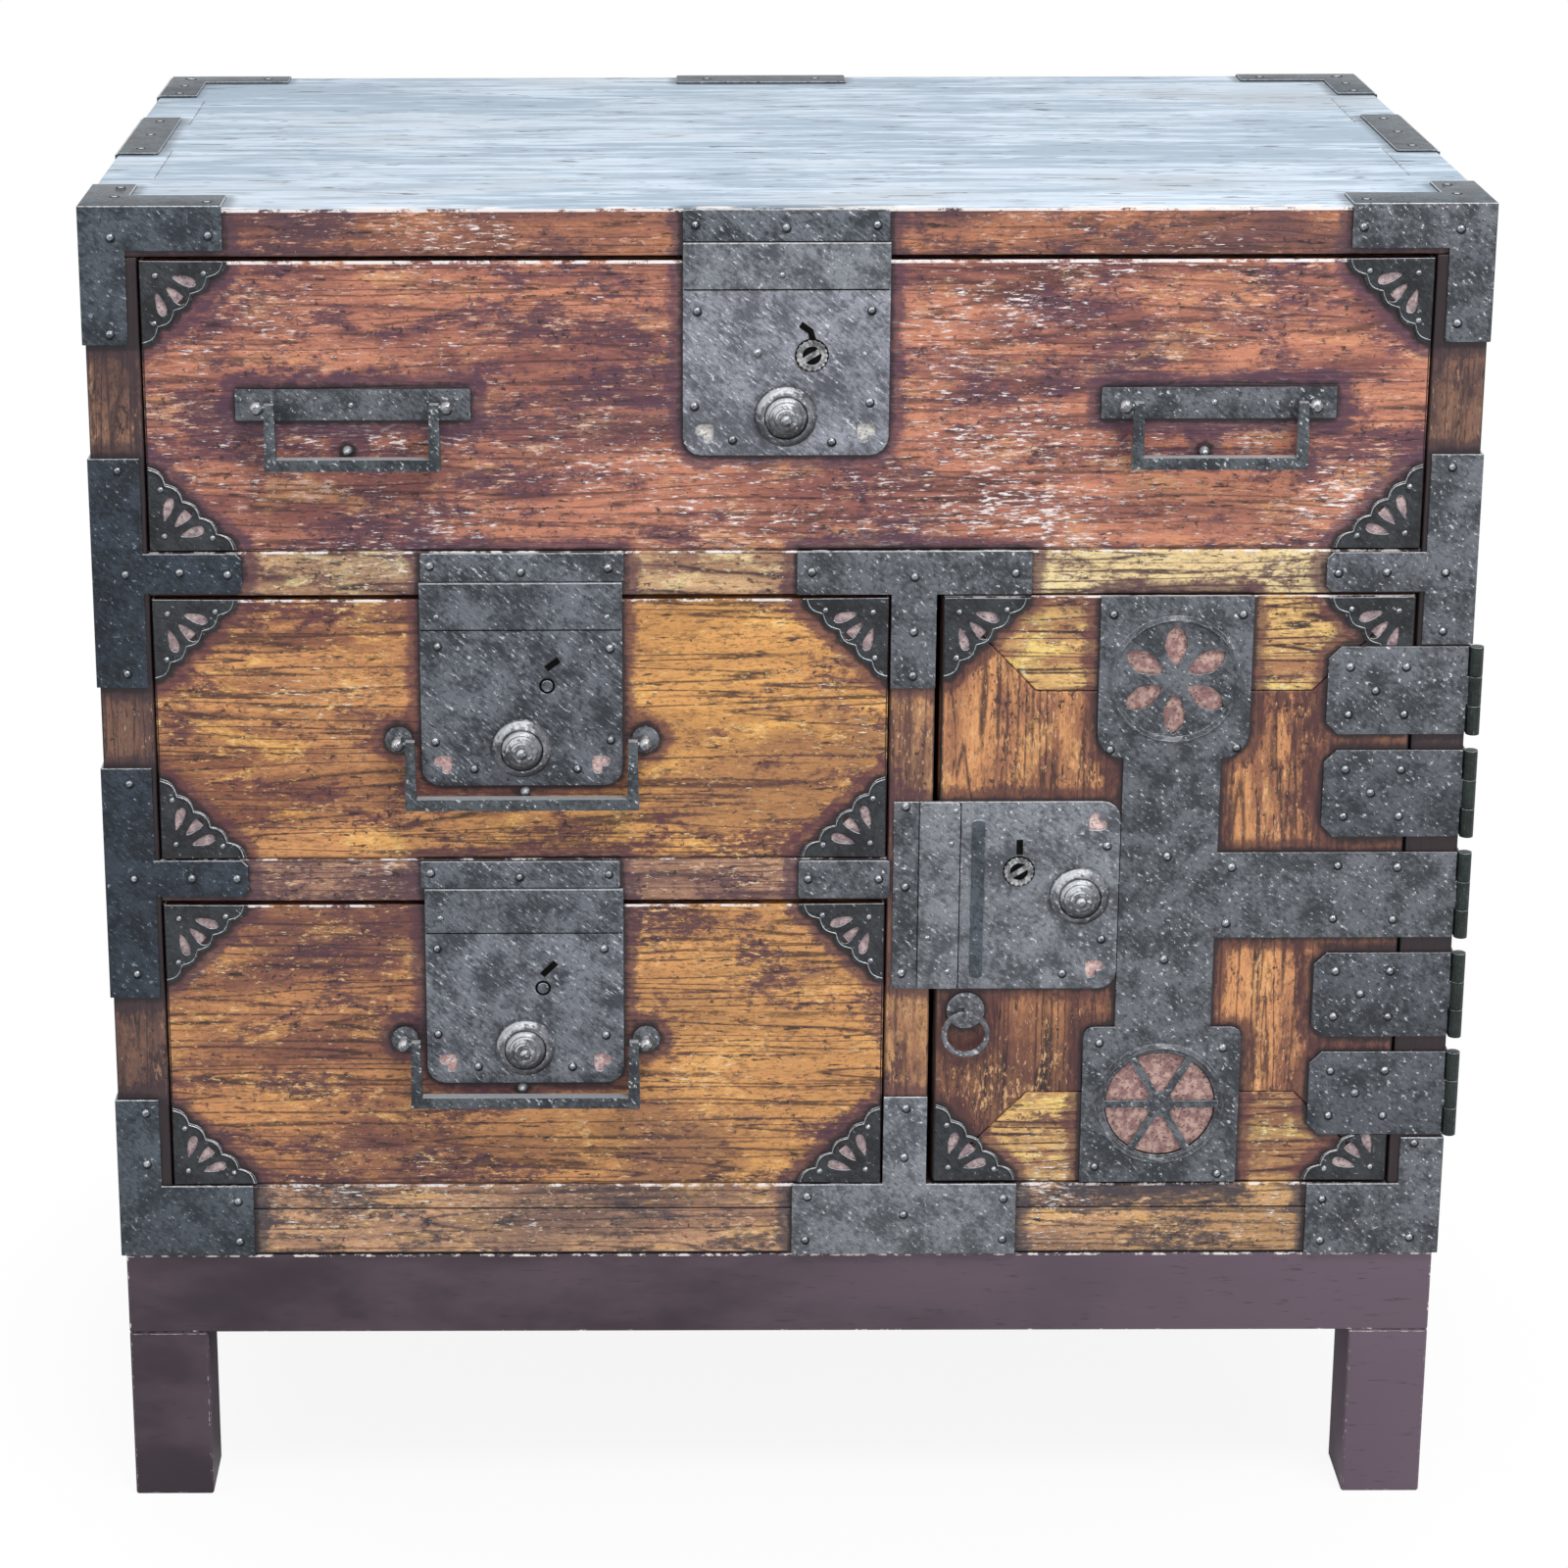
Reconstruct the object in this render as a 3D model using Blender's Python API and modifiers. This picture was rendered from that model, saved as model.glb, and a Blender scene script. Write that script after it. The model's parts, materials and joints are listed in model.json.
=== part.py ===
"""A tansu: a wooden chest with one wide drawer over two half-width drawers and a
cupboard door, iron mounts, and a low stand. Metres, +Z up, front towards -Y.

Sizes are worked out in the case's own frame: x = 0 on the middle of the case, y = 0 on its
front face and z = 0 on the floor. One empty then brings the whole chest over the origin.
"""

import math

import bmesh
import bpy
from mathutils import Matrix, Vector

# Case
CASE_WIDTH = 0.880
CASE_DEPTH = 0.520
SIDE_THICKNESS = 0.034
TOP_THICKNESS = 0.031
BACK_THICKNESS = 0.010
RAIL_HEIGHT = 0.029
RAIL_DEPTH = 0.045
DUST_BOARD_THICKNESS = 0.010
PARTITION_THICKNESS = 0.029
PARTITION_CENTRE = 0.083
BOTTOM_THICKNESS = 0.018
BASE_RAIL_HEIGHT = 0.033
BASE_RAIL_THICKNESS = 0.030
TOP_OPENING = 0.191
MIDDLE_OPENING = 0.179
BOTTOM_OPENING = 0.202
FINGER_COUNT = 5
TOUCH = 0.0003

# Stand
STAND_HEIGHT = 0.180
STAND_RAIL_HEIGHT = 0.058
STAND_RAIL_THICKNESS = 0.030
STAND_INSET = 0.001
STAND_REAR_PROUD = 0.002
LEG_SIDE = 0.053
WOOD_EDGE = 0.0012

# Drawers and door
FRONT_THICKNESS = 0.022
DRAWER_SIDE_GAP = 0.001
DRAWER_TOP_GAP = 0.0015
DRAWER_REAR_GAP = 0.006
DRAWER_SIDE_THICKNESS = 0.011
DRAWER_BACK_THICKNESS = 0.010
DRAWER_BOTTOM_THICKNESS = 0.008
DRAWER_BOX_DROP = 0.012
DOOR_GAP = 0.0015
CLAMP_HEIGHT = 0.064

# Iron plate, hinges and the door's centre plate
IRON = 0.0016
PLATE_GAP = 0.0005
HINGE_COUNT = 5
HINGE_PITCH = 0.070
HINGE_HEIGHT = 0.059
LEAF_LENGTH = 0.090
LEAF_CORNER = 0.008
CASE_LEAF_DEPTH = 0.045
BARREL_RADIUS = 0.0045
PIN_RADIUS = 0.0018
PIN_CLEARANCE = 0.0005
KNUCKLE_GAP = 0.0006
KNUCKLE_CLEARANCE = 0.0008
UPPER_BLOCK_WIDTH = 0.098
UPPER_BLOCK_HEIGHT = 0.109
LOWER_BLOCK_WIDTH = 0.104
LOWER_BLOCK_HEIGHT = 0.111
CENTRE_STRAP_WIDTH = 0.063
BLOCK_CORNER = 0.007
ROUND_OPENING_RADIUS = 0.037
ROUND_OPENING_CENTRE = 0.056
ROUND_RIM_WIDTH = 0.007
ROUND_RIM_HEIGHT = 0.003
PETAL_COUNT = 6
PETAL_WIDTH = 0.015
PETAL_INNER = 0.009
# A petal's outline: shares of its half length and of its half width
PETAL_SHARES = ((1, 0), (0.6, 0.75), (0, 1), (-0.6, 0.6), (-1, 0), (-0.6, -0.6), (0, -1), (0.6, -0.75))
SPOKE_COUNT = 6
SPOKE_WIDTH = 0.005
HUB_RADIUS = 0.009

# Locks
LOCK_BREADTH = 0.130
DRAWER_LOCK_LENGTH = 0.1365
FLAP_LAP = 0.0085
LOCK_CORNER = 0.012
LOCK_CUT_IN = 0.015
LOCK_CUT_ACROSS = 0.050
LOCK_CUT_RADIUS = 0.006
KEY_HOLE_UP = 0.064
KEY_HOLE_ACROSS = 0.016
KEY_HOLE_RADIUS = 0.0045
BUTTON_CENTRE_UP = 0.0255
BUTTON_RADIUS = 0.0132
BUTTON_CLEARANCE = 0.0005
BUTTON_HEIGHT = 0.0125
BUTTON_SKIRT = 0.0035
BUTTON_TRAVEL = 0.003
COLLAR_RADIUS = 0.020
COLLAR_HEIGHT = 0.0035
# The dome from its crown to the collar: shares of its radius and of its height
BUTTON_DOME_SHARES = ((0, 1), (0.17, 0.9), (0.25, 0.75), (0.6, 0.6), (0.9, 0.2), (1, 0))

# Handles
TOP_HANDLE_INSET = 0.133
TOP_POST_SPACING = 0.1195
TOP_BAIL_DROP = 0.036
LOWER_POST_SPACING = 0.1595
LOWER_BAIL_DROP = 0.0395
TOP_HANDLE_BELOW = 0.0945
LOWER_HANDLE_BELOW = 0.097
BAIL_BAR = 0.006
BAIL_PIN_RADIUS = 0.002
BAIL_PIN_CLEARANCE = 0.0005
BAIL_SIDE_GAP = 0.0004
POST_BALL_RADIUS = 0.0046
POST_STEM_RADIUS = 0.0032
POST_WASHER_RADIUS = 0.009
PIVOT_REACH = 0.013
HANDLE_PLATE_LENGTH = 0.148
HANDLE_PLATE_HEIGHT = 0.020
RING_RADIUS = 0.0143
RING_WIRE_RADIUS = 0.002
RING_INSET = 0.0225
RING_BELOW_LOCK = 0.0155
STAPLE_EYE_RADIUS = 0.0044
STAPLE_WIRE_RADIUS = 0.0015
STAPLE_PLATE_RADIUS = 0.0125

# Case iron
BRACKET_ARM = 0.088
BRACKET_WIDTH = 0.027
BRACKET_SIDE_WRAP = 0.040
BRACKET_TOP_WRAP = 0.036
BRACKET_TOP_SIDE_ARM = 0.075
TOP_BRACKET_LEG = 0.087
BOTTOM_LEFT_LEG = 0.113
BOTTOM_RIGHT_LEG = 0.084
TEE_BAR = 0.150
TEE_STEM = 0.063
KEEPER_WIDTH = 0.0165

# Facets of round shapes, and the lengths that only the tools' work needs
ROUND_STEPS = 24
SMALL_STEPS = 12
ARC_STEPS = 4
BALL_ANGLES = (60, 30, 0, -30)
SMOOTH_ANGLE = 35
OVERRUN = 0.010
MERGE_DISTANCE = 0.00001

# Worked out from the sizes above
HALF_WIDTH = CASE_WIDTH / 2
INNER_HALF = HALF_WIDTH - SIDE_THICKNESS
CASE_BOTTOM = STAND_HEIGHT
BOTTOM_BOARD_LOW = CASE_BOTTOM + BASE_RAIL_HEIGHT
BOTTOM_OPENING_LOW = BOTTOM_BOARD_LOW + BOTTOM_THICKNESS
BOTTOM_OPENING_TOP = BOTTOM_OPENING_LOW + BOTTOM_OPENING
MIDDLE_OPENING_LOW = BOTTOM_OPENING_TOP + RAIL_HEIGHT
MIDDLE_OPENING_TOP = MIDDLE_OPENING_LOW + MIDDLE_OPENING
TOP_OPENING_LOW = MIDDLE_OPENING_TOP + RAIL_HEIGHT
TOP_OPENING_TOP = TOP_OPENING_LOW + TOP_OPENING
CASE_TOP = TOP_OPENING_TOP + TOP_THICKNESS
BACK_FRONT = CASE_DEPTH - BACK_THICKNESS
INSIDE_DEPTH = BACK_FRONT - TOUCH
PARTITION_LEFT = PARTITION_CENTRE - PARTITION_THICKNESS / 2
PARTITION_RIGHT = PARTITION_CENTRE + PARTITION_THICKNESS / 2
SMALL_OPENING_X = (PARTITION_LEFT - INNER_HALF) / 2
DOOR_LOW = BOTTOM_OPENING_LOW + DOOR_GAP
DOOR_HIGH = MIDDLE_OPENING_TOP - DOOR_GAP
DOOR_LEFT = PARTITION_RIGHT + DOOR_GAP
DOOR_RIGHT = INNER_HALF - DOOR_GAP
DOOR_MIDDLE = (DOOR_LOW + DOOR_HIGH) / 2
DOOR_CENTRE_X = (DOOR_LEFT + DOOR_RIGHT) / 2
DOOR_FLAP_EDGE = PARTITION_RIGHT - FLAP_LAP
DOOR_LOCK_LENGTH = DOOR_CENTRE_X - CENTRE_STRAP_WIDTH / 2 - PLATE_GAP - DOOR_FLAP_EDGE
RING_X = DOOR_LEFT + RING_INSET
IRON_BACK = -TOUCH
IRON_FRONT = -TOUCH - IRON
AXIS_X = HALF_WIDTH + TOUCH + BARREL_RADIUS
AXIS_Y = -TOUCH - IRON / 2
CASE_LEAF_INSIDE = HALF_WIDTH + TOUCH
PIVOT_Y = -PIVOT_REACH
LEFT_REACH = HALF_WIDTH + TOUCH + IRON
RIGHT_REACH = AXIS_X + BARREL_RADIUS
FRONT_REACH = max(PIVOT_REACH + POST_BALL_RADIUS, TOUCH + IRON + COLLAR_HEIGHT + BUTTON_HEIGHT)
REAR_REACH = CASE_DEPTH + STAND_REAR_PROUD
COLLAR_BORE = BUTTON_RADIUS + BUTTON_CLEARANCE


def clear_scene():
    for obj in list(bpy.data.objects):
        bpy.data.objects.remove(obj, do_unlink=True)


def new_collection(name):
    collection = bpy.data.collections.new(name)
    bpy.context.scene.collection.children.link(collection)
    return collection


def new_material(name, colour, roughness, metallic=0.0):
    material = bpy.data.materials.new(name)
    material.use_nodes = True
    shader = material.node_tree.nodes["Principled BSDF"]
    shader.inputs["Base Color"].default_value = (*colour, 1.0)
    shader.inputs["Roughness"].default_value = roughness
    shader.inputs["Metallic"].default_value = metallic
    return material


clear_scene()
CHEST = new_collection("tansu_chest")
CUTTERS = new_collection("cutters")
FRAMES = {}

CASE_WOOD = new_material("case_wood", (0.32, 0.15, 0.06), 0.45)
TOP_WOOD = new_material("top_wood", (0.12, 0.10, 0.10), 0.30)
DRAWER_WOOD = new_material("drawer_wood", (0.36, 0.16, 0.06), 0.42)
BOX_WOOD = new_material("box_wood", (0.55, 0.42, 0.28), 0.70)
DOOR_WOOD = new_material("door_wood", (0.34, 0.15, 0.06), 0.42)
STAND_WOOD = new_material("stand_lacquer", (0.10, 0.06, 0.07), 0.35)
PLATE_IRON = new_material("plate_iron", (0.06, 0.065, 0.07), 0.50, 1.0)
HANDLE_IRON = new_material("handle_iron", (0.04, 0.045, 0.05), 0.45, 1.0)


def add_frame(name, at, parent=None):
    """An empty at a point of the case's frame, which carries what moves with it."""
    empty = bpy.data.objects.new(name, None)
    CHEST.objects.link(empty)
    origin = Vector(at)
    if parent:
        empty.parent = FRAMES[parent][0]
        empty.location = origin - FRAMES[parent][1]
    else:
        empty.location = origin
    FRAMES[name] = (empty, origin)


def seat(obj, frame, origin=None):
    """Hangs an object, modelled in the case's frame, on an empty, with its origin at a point."""
    carrier, carrier_origin = FRAMES[frame]
    at = Vector(origin) if origin else carrier_origin
    obj.data.transform(Matrix.Translation(-at))
    obj.parent = carrier
    obj.location = at - carrier_origin


def finish_node(obj, name, material, frame, origin=None):
    obj.name = name
    obj.data.name = name
    obj.data.materials.clear()
    obj.data.materials.append(material)
    seat(obj, frame, origin)
    return obj


def mesh_object(bm):
    mesh = bpy.data.meshes.new("shape")
    bm.to_mesh(mesh)
    bm.free()
    obj = bpy.data.objects.new("shape", mesh)
    CHEST.objects.link(obj)
    return obj


def box(low, high):
    """A box between two corners, in the case's frame."""
    low, high = Vector(low), Vector(high)
    size = high - low
    bm = bmesh.new()
    bmesh.ops.create_cube(bm, size=1.0)
    bmesh.ops.scale(bm, vec=size, verts=bm.verts)
    bmesh.ops.translate(bm, vec=(low + high) / 2, verts=bm.verts)
    return mesh_object(bm)


def cylinder(radius, start, end, steps=SMALL_STEPS):
    """A closed cylinder from one point to another."""
    start, end = Vector(start), Vector(end)
    run = end - start
    bm = bmesh.new()
    bmesh.ops.create_cone(
        bm, cap_ends=True, segments=steps, radius1=radius, radius2=radius, depth=run.length
    )
    turn = Vector((0, 0, 1)).rotation_difference(run).to_matrix().to_4x4()
    bmesh.ops.transform(bm, matrix=Matrix.Translation((start + end) / 2) @ turn, verts=bm.verts)
    obj = mesh_object(bm)
    shade_round(obj)
    return obj


def shade_round(obj):
    obj.data.shade_smooth()
    obj.data.set_sharp_from_angle(angle=math.radians(SMOOTH_ANGLE))


def arc(centre, radius, start, end, steps=ARC_STEPS):
    """Points of an arc in a flat outline, angles in degrees."""
    points = []
    for step in range(steps + 1):
        angle = math.radians(start + (end - start) * step / steps)
        points.append((centre[0] + radius * math.cos(angle), centre[1] + radius * math.sin(angle)))
    return points


def circle(centre, radius, steps=ROUND_STEPS):
    return arc(centre, radius, 0, 360 - 360 / steps, steps - 1)


# How the outline's two directions and its thickness lie: columns are u, v and the normal
FRONT_PLANE = Matrix(((1, 0, 0), (0, 0, -1), (0, 1, 0)))
SIDE_PLANE = Matrix(((0, 0, 1), (1, 0, 0), (0, 1, 0)))
TOP_PLANE = Matrix.Identity(3)


def plate(outlines, thickness, plane, middle):
    """A flat outline with its holes, given a thickness, as a mesh centred on a plane.

    middle is the point of the case's frame that the outline's (0, 0) lies on, at mid thickness."""
    curve = bpy.data.curves.new("outline", "CURVE")
    curve.dimensions = "2D"
    curve.fill_mode = "BOTH"
    curve.extrude = thickness / 2
    for outline in outlines:
        spline = curve.splines.new("POLY")
        spline.points.add(len(outline) - 1)
        for point, (u, v) in zip(spline.points, outline):
            point.co = (u, v, 0, 1)
        spline.use_cyclic_u = True
    drawn = bpy.data.objects.new("outline", curve)
    CHEST.objects.link(drawn)
    bpy.context.view_layer.update()
    evaluated = drawn.evaluated_get(bpy.context.evaluated_depsgraph_get())
    mesh = bpy.data.meshes.new_from_object(evaluated)
    bm = bmesh.new()
    bm.from_mesh(mesh)
    bmesh.ops.remove_doubles(bm, verts=bm.verts, dist=MERGE_DISTANCE)
    bmesh.ops.transform(bm, matrix=Matrix.Translation(Vector(middle)) @ plane.to_4x4(), verts=bm.verts)
    bpy.data.objects.remove(drawn, do_unlink=True)
    bpy.data.curves.remove(curve)
    bpy.data.meshes.remove(mesh)
    return mesh_object(bm)


def iron_plate(outlines):
    """A plate on the front of the wood, from outlines drawn in x and z."""
    return plate(outlines, IRON, FRONT_PLANE, (0, (IRON_BACK + IRON_FRONT) / 2, 0))


def turned(profile, at, steps=ROUND_STEPS, closed=False):
    """A shape turned about -Y through a point: profile holds (radius, reach towards the front)."""
    bm = bmesh.new()
    verts = [bm.verts.new((radius, 0, reach)) for radius, reach in profile]
    for first, second in zip(verts, verts[1:]):
        bm.edges.new((first, second))
    if closed:
        bm.edges.new((verts[-1], verts[0]))
    obj = mesh_object(bm)
    screw = obj.modifiers.new("turn", "SCREW")
    screw.steps = steps
    screw.render_steps = steps
    screw.use_merge_vertices = True
    screw.merge_threshold = MERGE_DISTANCE
    bpy.context.view_layer.update()
    mesh = bpy.data.meshes.new_from_object(obj.evaluated_get(bpy.context.evaluated_depsgraph_get()))
    obj.modifiers.clear()
    obj.data = mesh
    turn = Matrix.Rotation(math.radians(90), 4, "X")
    obj.data.transform(Matrix.Translation(Vector(at)) @ turn)
    shade_round(obj)
    return obj


def apply_boolean(obj, other, operation):
    modifier = obj.modifiers.new(operation.lower(), "BOOLEAN")
    modifier.operation = operation
    modifier.solver = "EXACT"
    modifier.object = other


def hide_helper(obj, name, frame):
    """Keeps the shape that a cut or a join uses, out of sight and in the cutters' collection."""
    obj.name = name
    CHEST.objects.unlink(obj)
    CUTTERS.objects.link(obj)
    obj.hide_render = True
    obj.display_type = "WIRE"
    seat(obj, frame)


def cut(obj, cutter, name, frame):
    hide_helper(cutter, name, frame)
    apply_boolean(obj, cutter, "DIFFERENCE")


def join(obj, other, name, frame):
    hide_helper(other, name, frame)
    apply_boolean(obj, other, "UNION")


def soften(obj, width=WOOD_EDGE):
    """A small chamfer along the edges of a board."""
    bevel = obj.modifiers.new("edge", "BEVEL")
    bevel.width = width
    bevel.segments = 1
    bevel.limit_method = "ANGLE"


def mirror_points(points):
    return [(-u, v) for u, v in reversed(points)]


# Case
def finger_edges():
    """Depths at which the joint between top and sides changes from tail to finger."""
    return [CASE_DEPTH * step / FINGER_COUNT for step in range(1, FINGER_COUNT)]


def build_top_board():
    """Its tails reach the outside of the sides between the sides' fingers."""
    edges = finger_edges()
    outline = [(HALF_WIDTH, 0)]
    notched = INNER_HALF - TOUCH
    for low, high in zip(edges[::2], edges[1::2]):
        outline += [
            (HALF_WIDTH, low - TOUCH),
            (notched, low - TOUCH),
            (notched, high + TOUCH),
            (HALF_WIDTH, high + TOUCH),
        ]
    outline.append((HALF_WIDTH, CASE_DEPTH))
    middle = (0, 0, CASE_TOP - TOP_THICKNESS / 2)
    board = plate([outline + mirror_points(outline)], TOP_THICKNESS, TOP_PLANE, middle)
    finish_node(board, "top_board", TOP_WOOD, "case")


def build_side(name, side):
    """side is -1 on the left and 1 on the right."""
    shoulder = TOP_OPENING_TOP - TOUCH
    edges = finger_edges()
    outline = [(0, CASE_BOTTOM), (CASE_DEPTH, CASE_BOTTOM), (CASE_DEPTH, shoulder)]
    for high, low in zip(edges[::-2], edges[-2::-2]):
        outline += [(high, shoulder), (high, CASE_TOP), (low, CASE_TOP), (low, shoulder)]
    outline.append((0, shoulder))
    middle = (side * (HALF_WIDTH - SIDE_THICKNESS / 2), 0, 0)
    board = plate([outline], SIDE_THICKNESS, SIDE_PLANE, middle)
    finish_node(board, name, CASE_WOOD, "case")


def build_back():
    board = box(
        (-INNER_HALF + TOUCH, BACK_FRONT, CASE_BOTTOM),
        (INNER_HALF - TOUCH, CASE_DEPTH, TOP_OPENING_TOP - TOUCH),
    )
    finish_node(board, "back_panel", CASE_WOOD, "case")


def build_shelf(name, left, right, top):
    """A front rail with a thinner dust board behind it, level with its upper face."""
    low = top - RAIL_HEIGHT
    outline = [
        (0, low),
        (RAIL_DEPTH, low),
        (RAIL_DEPTH, top - DUST_BOARD_THICKNESS),
        (INSIDE_DEPTH, top - DUST_BOARD_THICKNESS),
        (INSIDE_DEPTH, top),
        (0, top),
    ]
    inner_left, inner_right = left + TOUCH, right - TOUCH
    middle = ((inner_left + inner_right) / 2, 0, 0)
    shelf = plate([outline], inner_right - inner_left, SIDE_PLANE, middle)
    finish_node(shelf, name, CASE_WOOD, "case")


def build_case():
    build_top_board()
    build_side("left_side", -1)
    build_side("right_side", 1)
    build_back()
    build_shelf("upper_shelf", -INNER_HALF, INNER_HALF, TOP_OPENING_LOW)
    build_shelf("lower_shelf", -INNER_HALF, PARTITION_LEFT, MIDDLE_OPENING_LOW)
    behind_rail = MIDDLE_OPENING_TOP + RAIL_HEIGHT - DUST_BOARD_THICKNESS - TOUCH
    outline = [
        (0, BOTTOM_OPENING_LOW + TOUCH),
        (INSIDE_DEPTH, BOTTOM_OPENING_LOW + TOUCH),
        (INSIDE_DEPTH, behind_rail),
        (RAIL_DEPTH + TOUCH, behind_rail),
        (RAIL_DEPTH + TOUCH, MIDDLE_OPENING_TOP - TOUCH),
        (0, MIDDLE_OPENING_TOP - TOUCH),
    ]
    partition = plate([outline], PARTITION_THICKNESS, SIDE_PLANE, (PARTITION_CENTRE, 0, 0))
    finish_node(partition, "partition", CASE_WOOD, "case")
    bottom = box(
        (-INNER_HALF + TOUCH, 0, BOTTOM_BOARD_LOW + TOUCH),
        (INNER_HALF - TOUCH, INSIDE_DEPTH, BOTTOM_OPENING_LOW),
    )
    finish_node(bottom, "bottom_board", CASE_WOOD, "case")
    base = box(
        (-INNER_HALF + TOUCH, 0, CASE_BOTTOM),
        (INNER_HALF - TOUCH, BASE_RAIL_THICKNESS, BOTTOM_BOARD_LOW),
    )
    finish_node(base, "base_rail", CASE_WOOD, "case")


# Stand
def build_stand():
    """Four rails in a ring, on square legs whose posts stand inside its corners."""
    outer_x = HALF_WIDTH - STAND_INSET
    front, rear = STAND_INSET, REAR_REACH
    top = STAND_HEIGHT - TOUCH
    low = STAND_HEIGHT - STAND_RAIL_HEIGHT
    outer = [(-outer_x, front), (outer_x, front), (outer_x, rear), (-outer_x, rear)]
    inner_x = outer_x - STAND_RAIL_THICKNESS
    inner_front, inner_rear = front + STAND_RAIL_THICKNESS, rear - STAND_RAIL_THICKNESS
    inner = [(-inner_x, inner_front), (inner_x, inner_front), (inner_x, inner_rear), (-inner_x, inner_rear)]
    ring = plate([outer, inner], top - low, TOP_PLANE, (0, 0, (top + low) / 2))
    finish_node(ring, "stand_frame", STAND_WOOD, "case")
    inset = WOOD_EDGE + TOUCH
    for end, y_out, y_in, back in (("front", front, inner_front, 1), ("rear", rear, inner_rear, -1)):
        for hand, side in (("left", -1), ("right", 1)):
            corner_y = y_out + back * LEG_SIDE
            block = box_between(
                (side * outer_x, y_out, 0), (side * (outer_x - LEG_SIDE), corner_y, low - TOUCH)
            )
            soften(block)
            post = box_between(
                (side * (inner_x - TOUCH), y_in + back * TOUCH, low - LEG_SIDE),
                (side * (outer_x - LEG_SIDE + inset), corner_y - back * inset, top - TOUCH),
            )
            name = f"{end}_{hand}_leg"
            finish_node(block, name, STAND_WOOD, "case")
            join(block, post, f"{name}_post", "case")


def box_between(first, second):
    """A box between any two opposite corners."""
    low = [min(a, b) for a, b in zip(first, second)]
    high = [max(a, b) for a, b in zip(first, second)]
    return box(low, high)


# Locks
def lock_point(centre, turn, across, up):
    """A place on a lock plate: up runs to the flap, across to its key side."""
    angle = math.radians(turn)
    u = across * math.cos(angle) - up * math.sin(angle)
    v = across * math.sin(angle) + up * math.cos(angle)
    return centre[0] + u, centre[1] + v


def build_lock(which, far_edge, turn, length, board, frame):
    """A lock plate and its button. far_edge is the middle of the edge away from the flap,
    and turn swings the plate about it, seen from the front."""
    half = LOCK_BREADTH / 2
    outline = [(half, length), (-half, length)]
    outline += arc((-half + LOCK_CORNER, LOCK_CORNER), LOCK_CORNER, 180, 270)
    outline += arc((half - LOCK_CORNER, LOCK_CORNER), LOCK_CORNER, 270, 360)
    plate_bore = (COLLAR_BORE + COLLAR_RADIUS) / 2
    outlines = [outline, circle((0, BUTTON_CENTRE_UP), plate_bore)]
    outlines.append(circle((KEY_HOLE_ACROSS, KEY_HOLE_UP), KEY_HOLE_RADIUS, SMALL_STEPS))
    for side in (-1, 1):
        outlines.append(circle((side * LOCK_CUT_ACROSS, LOCK_CUT_IN), LOCK_CUT_RADIUS, SMALL_STEPS))
    placed = [[lock_point(far_edge, turn, u, v) for u, v in points] for points in outlines]
    name = f"lock_plate_{which}"
    lock = iron_plate(placed)
    finish_node(lock, name, PLATE_IRON, frame)
    x, z = lock_point(far_edge, turn, 0, BUTTON_CENTRE_UP)
    sunk = IRON / 2
    collar = turned(
        [
            (COLLAR_RADIUS, -sunk),
            (COLLAR_BORE, -sunk),
            (COLLAR_BORE, COLLAR_HEIGHT),
            ((COLLAR_BORE + COLLAR_RADIUS) / 2, COLLAR_HEIGHT),
            (COLLAR_RADIUS, 0),
        ],
        (x, IRON_FRONT, z),
        closed=True,
    )
    join(lock, collar, f"{name}_collar", frame)
    recess_depth = BUTTON_SKIRT + BUTTON_TRAVEL + BUTTON_CLEARANCE
    recess = cylinder(COLLAR_BORE, (x, -OVERRUN, z), (x, recess_depth, z), ROUND_STEPS)
    cut(board, recess, f"button_recess_{which}", frame)
    build_button(which, x, z, frame)


def build_button(which, x, z, frame):
    """The domed push button: its skirt runs in the collar and in a recess in the wood."""
    foot = IRON_FRONT - BUTTON_SKIRT
    profile = [
        (BUTTON_RADIUS * radius_share, COLLAR_HEIGHT + BUTTON_HEIGHT * height_share)
        for radius_share, height_share in BUTTON_DOME_SHARES
    ]
    profile += [(BUTTON_RADIUS, foot), (0, foot)]
    button = turned(profile, (x, IRON_FRONT, z))
    finish_node(button, f"button_{which}", HANDLE_IRON, frame, (x, IRON_FRONT, z))


# Handles
def post_profile(washer):
    """A handle post from its ball down: radius and reach from the front face of the wood."""
    foot = TOUCH + IRON / 2
    ball = [(0, PIVOT_REACH + POST_BALL_RADIUS)]
    for angle in BALL_ANGLES:
        turn = math.radians(angle)
        ball.append((POST_BALL_RADIUS * math.cos(turn), PIVOT_REACH + POST_BALL_RADIUS * math.sin(turn)))
    neck = [(POST_STEM_RADIUS, PIVOT_REACH - POST_BALL_RADIUS)]
    if washer:
        foot = TOUCH
        neck += [(POST_STEM_RADIUS, TOUCH + IRON + IRON), (POST_WASHER_RADIUS, TOUCH + IRON)]
        neck += [(POST_WASHER_RADIUS, foot)]
    else:
        neck += [(POST_STEM_RADIUS, foot)]
    return ball + neck + [(0, foot)]


def pin_bore(x, z):
    radius = BAIL_PIN_RADIUS + BAIL_PIN_CLEARANCE
    reach = POST_BALL_RADIUS + OVERRUN
    return cylinder(radius, (x - reach, PIVOT_Y, z), (x + reach, PIVOT_Y, z))


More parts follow.
